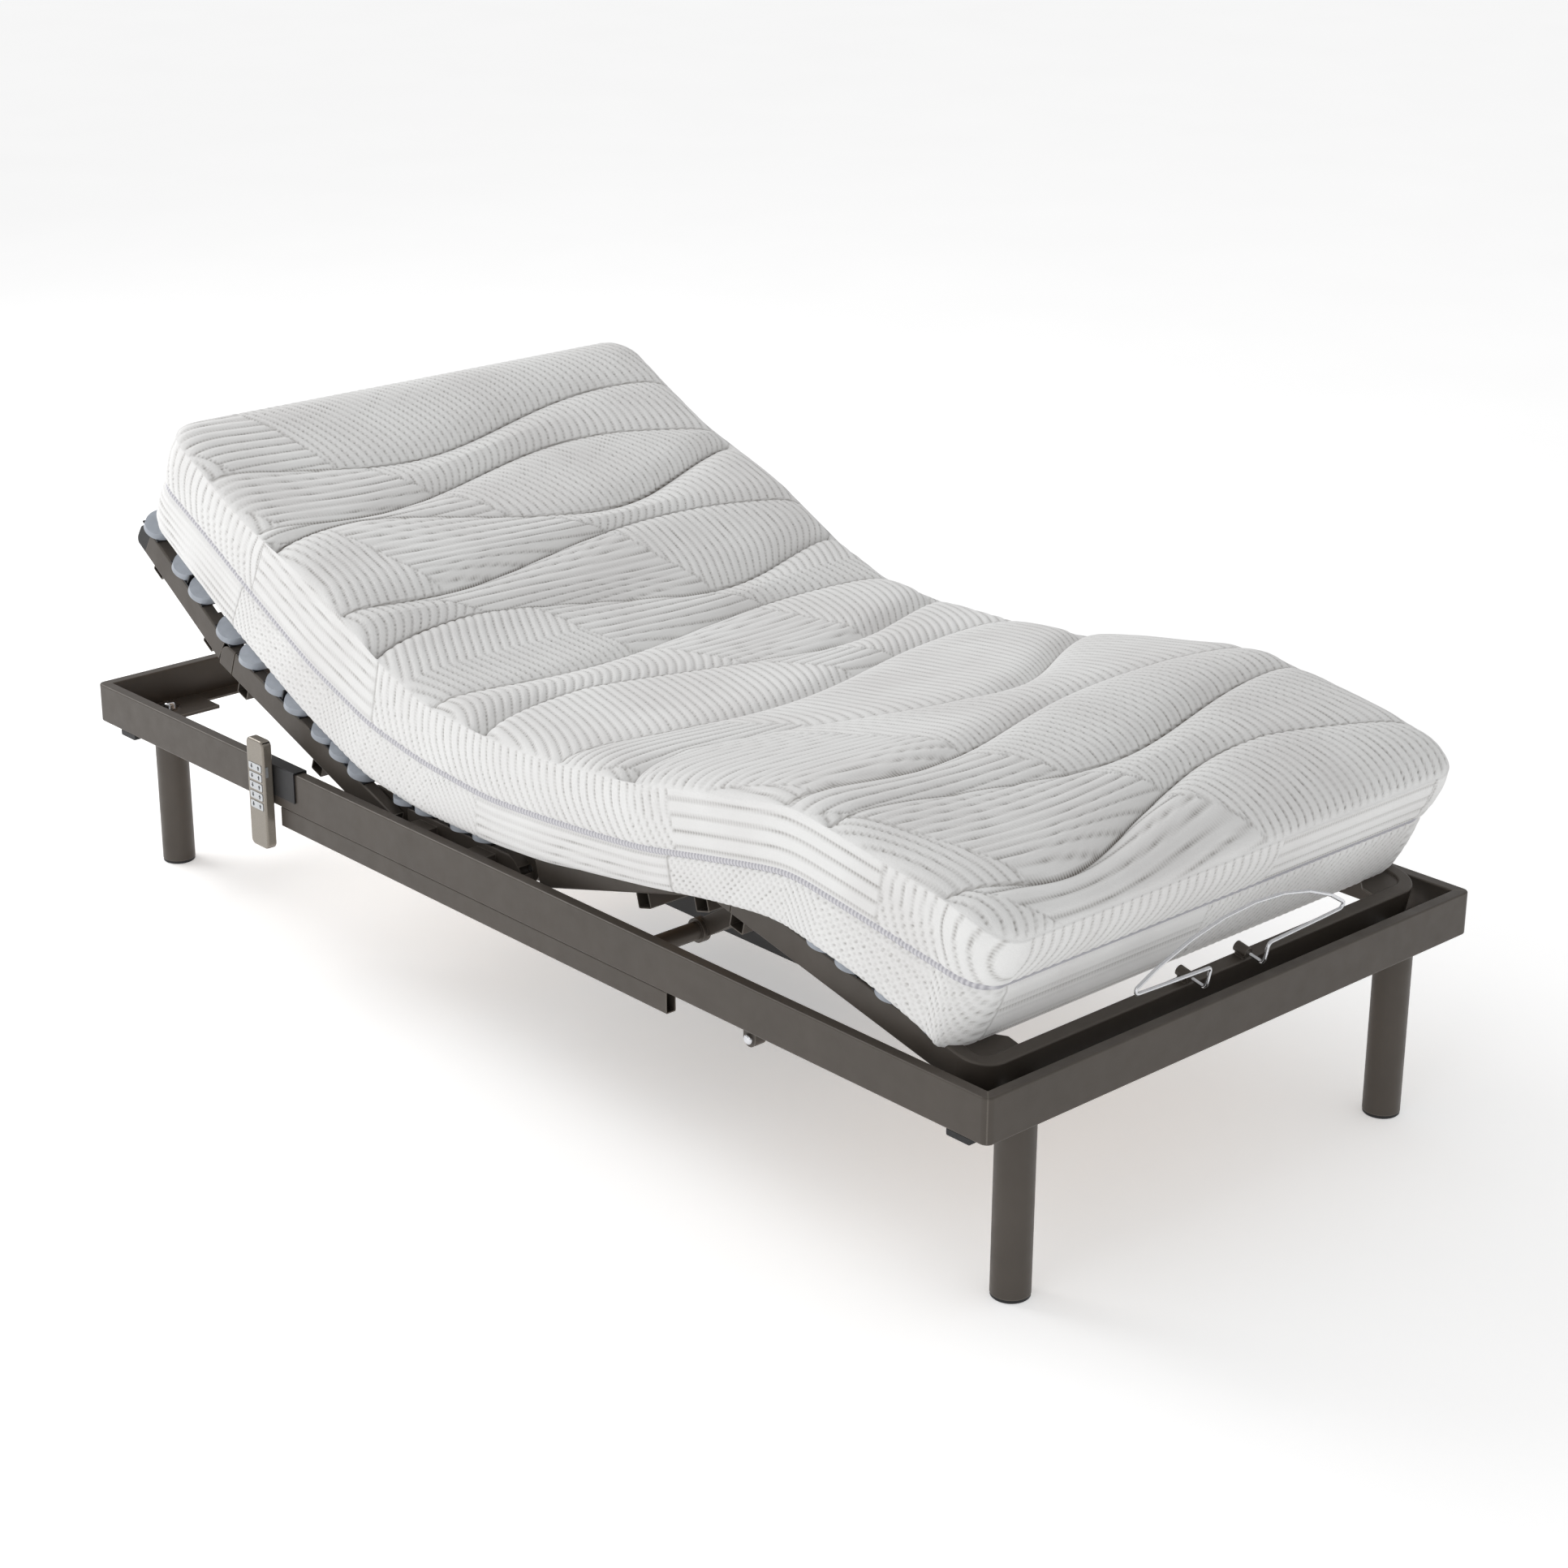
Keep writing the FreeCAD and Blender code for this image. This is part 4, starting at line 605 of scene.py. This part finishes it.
# ---- the cover's mesh ----------------------------------------------------------
class Cover:
    """The whole cover as one grid, before it is cut into lengths."""

    def __init__(self, sizes):
        self.z = sizes
        self.lie = Lie()
        self.length = self.lie.length
        self.rows = self.row_places()
        self.columns = np.linspace(-1, 1, int(2 * sizes.half_width / sizes.grid) | 1)
        self.build_top()
        self.build_border()
        self.build_underside()
        self.join()

    def half_width_at(self, s):
        """Plan outline with round corners."""
        r = self.z.corner
        into = np.minimum(s, self.length - s)
        short = np.clip(r - into, 0, r)
        return self.z.half_width - r + np.sqrt(r * r - short * short)

    def row_places(self):
        """Rows as (band, share of the band), closer together round the corners."""
        rows = []
        edge = np.array([-self.z.half_width])
        arc = 1 - np.cos(np.linspace(0, math.pi / 2, CORNER_ROWS))
        for band in range(len(QUILT_BANDS)):
            gap = float((seam_line(band + 1, edge, self.length) - seam_line(band, edge, self.length))[0])
            mean = QUILT_SEAMS[min(band, len(QUILT_SEAMS) - 1)][0] - (QUILT_SEAMS[band - 1][0] if band else 0)
            if band == len(QUILT_BANDS) - 1:
                mean = self.length - QUILT_SEAMS[-1][0]
            count = max(8, int(mean / self.z.grid))
            shares = np.linspace(0, 1, count, endpoint=False)
            corner = self.z.corner / gap
            if band == 0:
                shares = np.concatenate((corner * arc, np.linspace(corner, 1, count, endpoint=False)[1:]))
            if band == len(QUILT_BANDS) - 1:
                shares = np.concatenate((np.linspace(0, 1 - corner, count, endpoint=False),
                                         1 - corner * arc[::-1]))
            rows += [(band, share) for share in shares]
        return rows

    def build_top(self):
        """The quilted top, row by row along the seams."""
        z = self.z
        nominal = self.columns * z.half_width
        band_of = np.array([band for band, _ in self.rows])
        share_of = np.array([share for _, share in self.rows])
        lines = np.stack([seam_line(k, nominal, self.length) for k in range(len(QUILT_BANDS) + 1)])
        low, high = lines[band_of], lines[band_of + 1]
        s = low + share_of[:, None] * (high - low)
        x = self.columns[None, :] * self.half_width_at(s)
        inside = self.edge_distance(x, s)
        quilt, tuck, run = self.quilting(x, s, band_of, inside)
        crown = z.crown * (1 - np.exp(-inside / CROWN_REACH))
        lip = -LIP_DEPTH * np.exp(-(inside / LIP_REACH) ** 2)
        h = self.lie.at(self.lie.up, s) + crown + quilt + lip
        self.top = (x, s, h, tuck, run)
        self.band_of = band_of

    def edge_distance(self, x, s):
        """How far inside the plan outline a point lies."""
        r = self.z.corner
        qx = np.abs(x) - (self.z.half_width - r)
        qs = np.abs(s - self.length / 2) - (self.length / 2 - r)
        outside = np.hypot(np.maximum(qx, 0), np.maximum(qs, 0))
        return np.maximum(r - outside - np.minimum(np.maximum(qx, qs), 0), 0)

    def quilting(self, x, s, band_of, inside):
        """Pillowing from the seams and the ribs between them, as heights, painted shade in the tucks and
        seams, and stitch runs.
        """
        z = self.z
        pillow = np.zeros_like(s)
        near_seam = np.zeros_like(s)
        for k in range(1, len(QUILT_SEAMS) + 1):
            place, swing, shift = QUILT_SEAMS[k - 1]
            angle = 2 * math.pi * (x - shift) / SEAM_WAVE
            tilt = swing * 2 * math.pi / SEAM_WAVE * np.cos(angle)
            away = np.abs(s - seam_line(k, x, self.length)) / np.sqrt(1 + tilt * tilt)
            pinch = 1 + 0.9 * np.clip(tilt / 0.3, -0.6, 1)
            pillow = np.minimum(pillow, -z.seam_depth * pinch * np.exp(-away / z.seam_width))
            # painted shade along each quilting seam, darker where the seam pinches
            near_seam = np.maximum(near_seam, np.exp(-(away / STITCH_LINE) ** 2) * (0.6 + 0.4 * pinch))
        height = np.zeros_like(s)
        tuck = np.zeros_like(s)
        run = np.zeros_like(s)
        for band, (start, end, slant, chevron) in enumerate(QUILT_BANDS):
            rows = band_of == band
            xr, sr = x[rows], s[rows]
            low = seam_line(band, xr, self.length)
            high = seam_line(band + 1, xr, self.length)
            middle = (low + high) / 2
            share = (sr - low) / (high - low)
            lean = 0.08 * (share - 0.5)
            across = ease(xr, start - lean - RIB_TURN, start - lean + RIB_TURN)
            across = across * (1 - ease(xr, end - lean - RIB_TURN, end - lean + RIB_TURN))
            slanted = np.abs(sr - np.mean(middle)) if chevron else sr - np.mean(middle)
            along_phase = (xr - slant * slanted - RIB_SWAY * np.sin(math.pi * share)) / z.rib_pitch
            follow = 0.7 * (middle - np.mean(middle))
            across_phase = (sr - follow) / (z.rib_pitch * 1.1)
            ribs_across, ribs_along = rib_profile(across_phase), rib_profile(along_phase)
            ribs = across * ribs_across + (1 - across) * ribs_along
            turn = 4 * across * (1 - across)
            ribs = ribs * (1 - 0.7 * turn)
            height[rows] = ribs - 1
            # painted shade mask: 1 in the tucks between the ribs, 0 on their crowns
            tuck[rows] = np.clip(1 - ribs / TUCK_DEPTH, 0, 1)
            run[rows] = np.where(across > 0.5, xr, sr)
        fade = ease(inside, 0, EDGE_FADE)
        tuck = np.maximum(tuck * fade * 0.8, near_seam * fade)
        return (pillow + z.rib_height * height) * fade, tuck, run

    def border_ribs(self, side, p, v, h, upper):
        """Ribs on the border at a place p along one side; v runs from 0 at the zip to 1."""
        panels = BORDER_PANELS[side][0 if upper else 1]
        lengthwise = np.zeros_like(p)
        for start, end in panels:
            here = ease(p, start - RIB_TURN, start + RIB_TURN)
            here = here * (1 - ease(p, end - RIB_TURN, end + RIB_TURN))
            lengthwise = np.maximum(lengthwise, here)
        if upper:
            upright = rib_profile((p - RIB_SWAY * np.sin(math.pi * v) - 0.2 * h) / UPPER_UPRIGHT_PITCH)
            level = rib_profile(h / UPPER_LEVEL_PITCH)
        else:
            upright = rib_profile((p - 0.75 * h) / LOWER_UPRIGHT_PITCH)
            level = rib_profile(h / LOWER_LEVEL_PITCH)
        ribs = lengthwise * level + (1 - lengthwise) * upright
        ribs = ribs * (1 - 0.7 * 4 * lengthwise * (1 - lengthwise))
        run = np.where(lengthwise > 0.5, p, h)
        return ribs, run

    def build_border(self):
        """The border round all four sides, level by level from the top seam to the hem."""
        z = self.z
        x, s = self.top[0], self.top[1]
        rows, columns = x.shape
        left = [(r, 0) for r in range(rows)]
        head = [(rows - 1, c) for c in range(1, columns)]
        right = [(r, columns - 1) for r in range(rows - 2, -1, -1)]
        foot = [(0, c) for c in range(columns - 2, 0, -1)]
        self.loop = np.array(left + head + right + foot)
        self.sides = (len(left), len(left) + len(head) - 1, len(left) + len(head) + len(right))
        xb, sb = x[tuple(self.loop.T)], s[tuple(self.loop.T)]
        tangent = np.stack([np.roll(xb, -1) - np.roll(xb, 1), np.roll(sb, -1) - np.roll(sb, 1)])
        tangent /= np.hypot(*tangent)
        outward = np.stack([-tangent[1], tangent[0]])
        up, down = self.lie.at(self.lie.up, sb), self.lie.at(self.lie.down, sb)
        levels = [("upper", v) for v in np.linspace(1, 0, UPPER_LEVELS)[1:]]
        levels += [("zip", share) for share in (0.75, 0.40, 0.0, -0.40, -0.75)]
        levels += [("lower", v) for v in np.linspace(0, 1, LOWER_LEVELS)]
        self.levels = levels
        corner_share = ease(np.abs(outward[1]), 0.1, 0.9)
        layers = []
        for kind, v in levels:
            edge = z.zip_half * 1.2
            if kind == "upper":
                h = edge + v * (up - edge)
                ribs, run = self.around(xb, sb, v, h, True)
                off = (2.0 + 5.0 * corner_share) * MM * math.sin(math.pi * min(1, v * 0.9 + 0.1)) ** 0.7
                off = off - 3.0 * MM * (1 - ribs) * math.sin(math.pi * min(v + 0.06, 1)) ** 0.3
                # painted shade in the tucks between the border's ribs
                tuck = np.clip(1 - ribs / TUCK_DEPTH, 0, 1) * 0.75
                off = off - (BORDER_PINCH if v < 0.01 else 0)
            elif kind == "zip":
                h = np.full_like(xb, edge * v)
                off = np.full_like(xb, (-0.3 if abs(v) < 0.5 else -1.6) * MM)
                tuck = np.full_like(xb, 0.0)
                run = sb * 0
            else:
                h = -edge - v * (down - edge)
                ribs, run = self.around(xb, sb, v, h, False)
                swell = math.sin(math.pi * min(1, v * 0.85 + 0.1)) ** 0.7
                off = (1.6 + 4.0 * corner_share) * MM * swell
                off = off - 2.8 * MM * (1 - ribs) * math.sin(math.pi * min(v + 0.06, 0.97)) ** 0.3
                # painted shade in the tucks between the border's ribs
                tuck = np.clip(1 - ribs / TUCK_DEPTH, 0, 1) * 0.75
                off = off - (BORDER_PINCH if v < 0.01 else 0) - 3.0 * MM * max(0, v - 0.85) / 0.15
            off = np.minimum(off, 0.5 * MM + 6 * MM * corner_share)
            layers.append((xb + outward[0] * off, sb + outward[1] * off, h, tuck, run))
        self.border = layers

    def around(self, xb, sb, v, h, upper):
        """Border ribs for the whole loop, side by side."""
        places = (("near", sb), ("head", xb), ("far", sb), ("foot", xb))
        ends = (0, *self.sides, len(xb))
        ribs, run = np.zeros_like(xb), np.zeros_like(xb)
        for i, (side, p) in enumerate(places):
            part = slice(ends[i], ends[i + 1])
            ribs[part], run[part] = self.border_ribs(side, p[part], v, h[part], upper)
        return ribs, run

    def build_underside(self):
        """Hem folded in over the rails and the flat base on the slat caps, row by row."""
        x, s = self.top[0], self.top[1]
        rows = len(s)
        down = self.border[-1][2]
        outer = np.abs(self.border[-1][0])
        left = np.arange(rows)
        right = self.sides[1] + rows - 1 - np.arange(rows)
        right[-1] = self.sides[1]
        scale = (self.length - 16 * MM) / self.length
        columns = []
        for sign, at in ((-1, left), (1, right)):
            edge = outer[at]
            sr = 8 * MM + np.abs(s[:, 0 if sign < 0 else -1]) * scale
            hem = down[at]
            base = -self.lie.at(self.lie.under, sr) + self.z.clearance
            hanging = ease(base - hem, -2 * MM, 4 * MM)
            lip = (sign * (edge - HEM_WIDTH), sr, hem + 0.5 * MM)
            inner = (sign * (edge - 5.9 * MM - 25 * MM * (1 - hanging)), sr, base)
            rest = (sign * (edge - 0.2), sr, base)
            columns.append((lip, inner, rest))
        (lip_l, in_l, rest_l), (lip_r, in_r, rest_r) = columns
        self.under = [lip_l, in_l, rest_l, rest_r, in_r, lip_r]
        self.right_of_row = right

    def join(self):
        """All vertices, faces and attributes, with the row that each face belongs to."""
        x, s, h, tuck, run = self.top
        rows, columns = x.shape
        parts = [tuple(a.ravel() for a in (x, s, h, tuck, run))]
        parts += self.border
        for column in self.under:
            flat = tuple(np.asarray(a, float) for a in column)
            parts.append((*flat, np.zeros(rows), np.zeros(rows)))
        x, s, h, self.tuck, self.run = (np.concatenate([part[i] for part in parts]) for i in range(5))
        self.flat = np.stack([x, s, h], -1)
        self.vertices = self.lie.place(x, s, h)
        around = len(self.loop)
        top_id = self.loop[:, 0] * columns + self.loop[:, 1]
        ring = [top_id] + [rows * columns + k * around + np.arange(around) for k in range(len(self.levels))]
        self.ring = ring
        base = rows * columns + len(self.levels) * around
        under = [base + q * rows + np.arange(rows) for q in range(6)]
        bottom = [ring[-1][:rows]] + under + [ring[-1][self.right_of_row]]
        self.bottom = bottom
        faces, owner, tape = [], [], []
        r, c = np.meshgrid(np.arange(rows - 1), np.arange(columns - 1), indexing="ij")
        corner = (r * columns + c).ravel()
        faces.append(np.stack([corner, corner + 1, corner + columns + 1, corner + columns], -1))
        owner.append(r.ravel())
        tape.append(np.zeros(len(corner), int))
        row_of = self.loop[:, 0]
        step_owner = np.minimum(row_of, np.roll(row_of, -1))
        step_owner = np.minimum(step_owner, rows - 2)
        for k in range(len(self.levels)):
            above, below = ring[k], ring[k + 1]
            faces.append(np.stack([above, np.roll(above, -1), np.roll(below, -1), below], -1))
            owner.append(step_owner)
            in_zip = self.levels[k][0] == "zip" or (k and self.levels[k - 1][0] == "zip")
            tape.append(np.full(around, int(bool(in_zip))))
        for q in range(7):
            a, b = bottom[q], bottom[q + 1]
            faces.append(np.stack([a[:-1], a[1:], b[1:], b[:-1]], -1))
            owner.append(np.arange(rows - 1))
            tape.append(np.zeros(rows - 1, int))
        self.faces = np.concatenate(faces)
        self.owner = np.concatenate(owner)
        self.tape = np.concatenate(tape)
        self.row_count, self.column_count = rows, columns

    def section_loop(self, row):
        """The closed outline of the cover at one row."""
        columns = self.column_count
        across = row * columns + np.arange(columns)
        right = [level[self.right_of_row[row]] for level in self.ring[1:]]
        below = [line[row] for line in self.bottom[1:-1]]
        left = [level[row] for level in self.ring[1:]]
        return [int(v) for v in (*across, *right, *reversed(below), *reversed(left))]

    def end_hem(self, row):
        """The strip that closes the underside at the foot or head end."""
        columns = self.column_count
        lookup = {tuple(place): i for i, place in enumerate(self.loop.tolist())}
        hem = [self.ring[-1][lookup[(row, c)]] for c in range(columns)]
        below = [line[row] for line in self.bottom[1:-1]]
        loop = [int(v) for v in (*hem, *reversed(below))]
        return loop if row == 0 else loop[::-1]

    def first_row(self, seam):
        """The row that runs along a quilting seam."""
        if seam >= len(QUILT_BANDS):
            return self.row_count - 1
        return int(np.argmax(self.band_of == seam))

    def length_of_cover(self, name, seam_from, seam_to, normals):
        """One closed length of cover between two seams."""
        start, end = self.first_row(seam_from), self.first_row(seam_to)
        mine = (self.owner >= start) & (self.owner < end)
        quads = self.faces[mine]
        tape = self.tape[mine]
        last = self.row_count - 1
        loops = [
            self.end_hem(0) if start == 0 else self.section_loop(start)[::-1],
            self.end_hem(last) if end == last else self.section_loop(end),
        ]
        used = np.unique(np.concatenate([quads.ravel()] + [np.array(loop) for loop in loops]))
        index = np.full(len(self.vertices), -1)
        index[used] = np.arange(len(used))
        faces = index[quads].tolist() + [index[np.array(loop)].tolist() for loop in loops]
        obj = new_mesh_object(name, self.vertices[used].tolist(), faces)
        mesh = obj.data
        mesh.polygons.foreach_set("use_smooth", [True] * len(mesh.polygons))
        mesh.polygons.foreach_set("material_index", tape.tolist() + [0, 0])
        for attribute, kind, field, values in (
                ("cover_place", "FLOAT_VECTOR", "vector", self.flat[used].ravel()),
                ("tuck", "FLOAT", "value", self.tuck[used]),
                ("stitch_run", "FLOAT", "value", self.run[used])):
            mesh.attributes.new(attribute, kind, "POINT").data.foreach_set(field, values.astype(np.float32))
        mesh.normals_split_custom_set_from_vertices(normals[used].tolist())
        mesh.update()
        return obj

    def normals(self):
        """Vertex normals of the uncut cover, so that the cuts between lengths don't show."""
        mesh = bpy.data.meshes.new("uncut_cover")
        mesh.from_pydata(self.vertices.tolist(), [], self.faces.tolist())
        values = np.zeros(len(self.vertices) * 3, np.float32)
        mesh.vertex_normals.foreach_get("vector", values)
        bpy.data.meshes.remove(mesh)
        return values.reshape(-1, 3)


# ---- operators -----------------------------------------------------------------
class BED_OT_cover(bpy.types.Operator):
    """Quilted mattress cover in four lengths, shaped over the sections and their hinges at rest"""

    bl_idname = "bed.cover"
    bl_label = "Mattress cover"

    def execute(self, context):
        cover = Cover(context.scene.bed_mattress)
        normals = cover.normals()
        colours = context.scene.bed_colours
        knit, tape = ribbed_knit(colours), woven_zip_tape(colours)
        for name, seam_from, seam_to, foot_body, head_body, stands_for in COVER_LENGTHS:
            piece = cover.length_of_cover(name, seam_from, seam_to, normals)
            piece.data.materials.append(knit)
            piece.data.materials.append(tape)
            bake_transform(piece)
            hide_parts(*stands_for)
        return {"FINISHED"}


class BED_OT_steel(bpy.types.Operator):
    """Powder coat, plating and bare steel on the frame's metal pieces"""

    bl_idname = "bed.steel"
    bl_label = "Steel finishes"

    def execute(self, context):
        finishes = {
            "anthracite_powder_coat": powder_coated_steel(context.scene.bed_colours),
            "chromed_steel": bright_steel("bright_chromed_steel", "C6C8CC", 0.1, 6 * MM, (1.0, 1.0, 1.0)),
            "plain_steel": bright_steel("turned_steel", "9A9C9E", 0.3, 1.5 * MM, (6.0, 1.0, 1.0)),
            "drive_housing_metal": cast_aluminium(),
        }
        for slot, material in finishes.items():
            for node in nodes_in_slot(slot):
                dress(node, material)
        return {"FINISHED"}


class BED_OT_platform(bpy.types.Operator):
    """Beech slats, their soft caps and the black holders under the caps"""

    bl_idname = "bed.platform"
    bl_label = "Slats and caps"

    def execute(self, context):
        beech = laminated_beech()
        rubber = soft_cap_rubber(context.scene.bed_colours)
        holder = moulded_black_plastic("moulded_holder_plastic", "0E0E10", "1B1B1D", 0.42)
        for node in nodes_in_slot("beech_plywood"):
            dress(node, beech)
        for node in nodes_in_slot("grey_blue_caps"):
            dress(node, rubber)
            obj = frame["nodes"][node]
            obj.data.materials.append(holder)
            share_holders(obj.data)
        return {"FINISHED"}


def share_holders(mesh):
    """Give the second material to the holders: their solids are narrower across than the caps."""
    co = np.zeros(len(mesh.vertices) * 3)
    mesh.vertices.foreach_get("co", co)
    co = co.reshape(-1, 3)
    _, key = np.unique(np.round(co, 5), axis=0, return_inverse=True)
    key = key.ravel()
    root = np.arange(key.max() + 1)
    pairs = np.array([[key[a], key[b]] for a, b in mesh.edge_keys])
    while True:
        least = np.minimum(root[pairs[:, 0]], root[pairs[:, 1]])
        before = root.copy()
        np.minimum.at(root, pairs[:, 0], least)
        np.minimum.at(root, pairs[:, 1], least)
        root = root[root]
        if (root == before).all():
            break
    solid = root[key]
    narrow = {}
    for part in np.unique(solid):
        width = np.ptp(co[solid == part, 0])
        narrow[part] = width < HOLDER_WIDTH
    for polygon in mesh.polygons:
        if narrow[solid[polygon.vertices[0]]]:
            polygon.material_index = 1


class BED_OT_mouldings(bpy.types.Operator):
    """Black mouldings, nylon running parts and the handset's casing and keys"""

    bl_idname = "bed.mouldings"
    bl_label = "Mouldings"

    def execute(self, context):
        colours = context.scene.bed_colours
        finishes = {
            "black_plastic": moulded_black_plastic("moulded_polypropylene", "131314", "1F1F21", 0.5),
            "black_clip": moulded_black_plastic("moulded_clip_plastic", "161617", "242427", 0.45),
            "roller_plastic": machined_nylon(),
            "champagne_casing": metallic_casing(colours),
            "silver_keys": silver_key_paint(),
        }
        for slot, material in finishes.items():
            for node in nodes_in_slot(slot):
                dress(node, material)
        return {"FINISHED"}


class BED_OT_key_symbols(bpy.types.Operator):
    """Raised plain arrows on each rocker key: one up and one down"""

    bl_idname = "bed.key_symbols"
    bl_label = "Key symbols"

    def execute(self, context):
        ink = key_print()
        for row in range(1, 6):
            low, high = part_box(f"key_row_{row}")
            middle = (low + high) / 2
            wide, tall = high.y - low.y, high.z - low.z
            vertices, faces = [], []
            for side, pointing in ((-1, 1), (1, -1)):
                centre = (middle.y + side * wide * 0.27, middle.z)
                arrow(vertices, faces, low.x, centre, tall * 0.30, pointing)
            symbols = new_mesh_object(f"key_symbols_{row}", vertices, faces)
            symbols.data.materials.append(ink)
            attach(symbols, f"rocker_{row}")
        return {"FINISHED"}


def arrow(vertices, faces, front, centre, size, pointing):
    """One arrow with a stem, standing 0.15 mm off the key's face, which looks towards -X."""
    outline = [(0.0, 1.0), (0.9, 0.0), (0.35, 0.0), (0.35, -1.0), (-0.35, -1.0), (-0.35, 0.0), (-0.9, 0.0)]
    proud = 0.15 * MM
    first = len(vertices)
    for x in (front + 0.1 * MM, front - proud):
        for across, up in outline:
            vertices.append((x, centre[0] + across * size * pointing, centre[1] + up * size * pointing))
    count = len(outline)
    back = [first + i for i in range(count)]
    face = [first + count + i for i in range(count)]
    faces.append(back)
    faces.append(face[::-1])
    for i in range(count):
        j = (i + 1) % count
        faces.append([back[j], back[i], face[i], face[j]])


class BED_OT_stage(bpy.types.Operator):
    """Pale floor, soft studio light and the camera"""

    bl_idname = "bed.stage"
    bl_label = "Stage"

    def execute(self, context):
        studio = context.scene.bed_studio
        floor = new_mesh_object("studio_floor", [
            (-FLOOR_REACH, -FLOOR_REACH, 0), (FLOOR_REACH, -FLOOR_REACH, 0),
            (FLOOR_REACH, FLOOR_REACH, 0), (-FLOOR_REACH, FLOOR_REACH, 0)], [(0, 1, 2, 3)])
        material, tree, shader = principled("matt_white_studio_paper", {
            "Roughness": 0.9, "Specular IOR Level": 0.1,
            "Emission Color": linear("FFFFFF"), "Emission Strength": 0.36})
        add(tree, "ShaderNodeMixRGB", None, {
            "Fac": grain(tree, PAPER_CLOUD), "Color1": linear("FAFAFA"),
            "Color2": linear(context.scene.bed_colours.floor)}, shader["Base Color"])
        floor.data.materials.append(material)
        world = bpy.data.worlds.new("studio_sky")
        world.use_nodes = True
        world.node_tree.nodes["Background"].inputs["Color"].default_value = linear("FFFFFF")
        world.node_tree.nodes["Background"].inputs["Strength"].default_value = studio.sky
        context.scene.world = world
        softbox("key_softbox", (-1.2, 3.0, 2.6), 2.2, studio.key_power)
        softbox("fill_softbox", (-4.0, -1.6, 1.6), 2.0, studio.fill_power)
        camera_at_view(context.scene, studio.focal)
        context.scene.view_settings.view_transform = "Standard"
        return {"FINISHED"}


def softbox(name, place, size, power):
    """Square area light that looks at the bed's middle."""
    light = bpy.data.lights.new(name, "AREA")
    light.shape = "SQUARE"
    light.size = size
    light.energy = power
    lamp = bpy.data.objects.new(name, light)
    lamp.location = place
    aim = Vector((0.0, 0.0, 0.35)) - Vector(place)
    lamp.rotation_euler = aim.to_track_quat("-Z", "Y").to_euler()
    bpy.context.scene.collection.objects.link(lamp)


def camera_at_view(scene, focal):
    """Three-quarter view from the foot end, a little above the mattress."""
    data = bpy.data.cameras.new("view")
    data.lens = focal
    data.sensor_width = 36.0
    data.clip_end = 4 * FLOOR_REACH
    camera = bpy.data.objects.new("view", data)
    forward = Vector((0.6307265, 0.68779815, -0.35932962)).normalized()
    up = Vector((0.23940102, 0.26800014, 0.93320045))
    right = forward.cross(up).normalized()
    up = right.cross(forward)
    turn = Matrix((right, up, -forward)).transposed().to_4x4()
    camera.matrix_world = Matrix.Translation((-2.742154, -3.109750, 1.891248)) @ turn
    scene.collection.objects.link(camera)
    scene.camera = camera


class BED_PT_panel(bpy.types.Panel):
    """Lists the bed's operators and sizes"""

    bl_idname = "BED_PT_panel"
    bl_label = "Adjustable bed"
    bl_space_type = "VIEW_3D"
    bl_region_type = "UI"
    bl_category = "Bed"

    def draw(self, context):
        for operator in OPERATORS:
            self.layout.operator(operator.bl_idname)
        for group in (context.scene.bed_mattress, context.scene.bed_colours, context.scene.bed_studio):
            box = self.layout.box()
            for name in group.__annotations__:
                box.prop(group, name)


OPERATORS = (BED_OT_steel, BED_OT_platform, BED_OT_mouldings, BED_OT_key_symbols, BED_OT_cover, BED_OT_stage)
GROUPS = (MattressSizes, BedColours, StudioSizes)


def register():
    for kind in (*GROUPS, *OPERATORS, BED_PT_panel):
        bpy.utils.register_class(kind)
    bpy.types.Scene.bed_mattress = bpy.props.PointerProperty(type=MattressSizes)
    bpy.types.Scene.bed_colours = bpy.props.PointerProperty(type=BedColours)
    bpy.types.Scene.bed_studio = bpy.props.PointerProperty(type=StudioSizes)


def unregister():
    del bpy.types.Scene.bed_mattress
    del bpy.types.Scene.bed_colours
    del bpy.types.Scene.bed_studio
    for kind in reversed((*GROUPS, *OPERATORS, BED_PT_panel)):
        bpy.utils.unregister_class(kind)


def main():
    """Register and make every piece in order."""
    register()
    bpy.ops.bed.steel()
    bpy.ops.bed.platform()
    bpy.ops.bed.mouldings()
    bpy.ops.bed.key_symbols()
    bpy.ops.bed.cover()
    bpy.ops.bed.stage()
    bpy.context.view_layer.update()


if __name__ == "__main__":
    main()
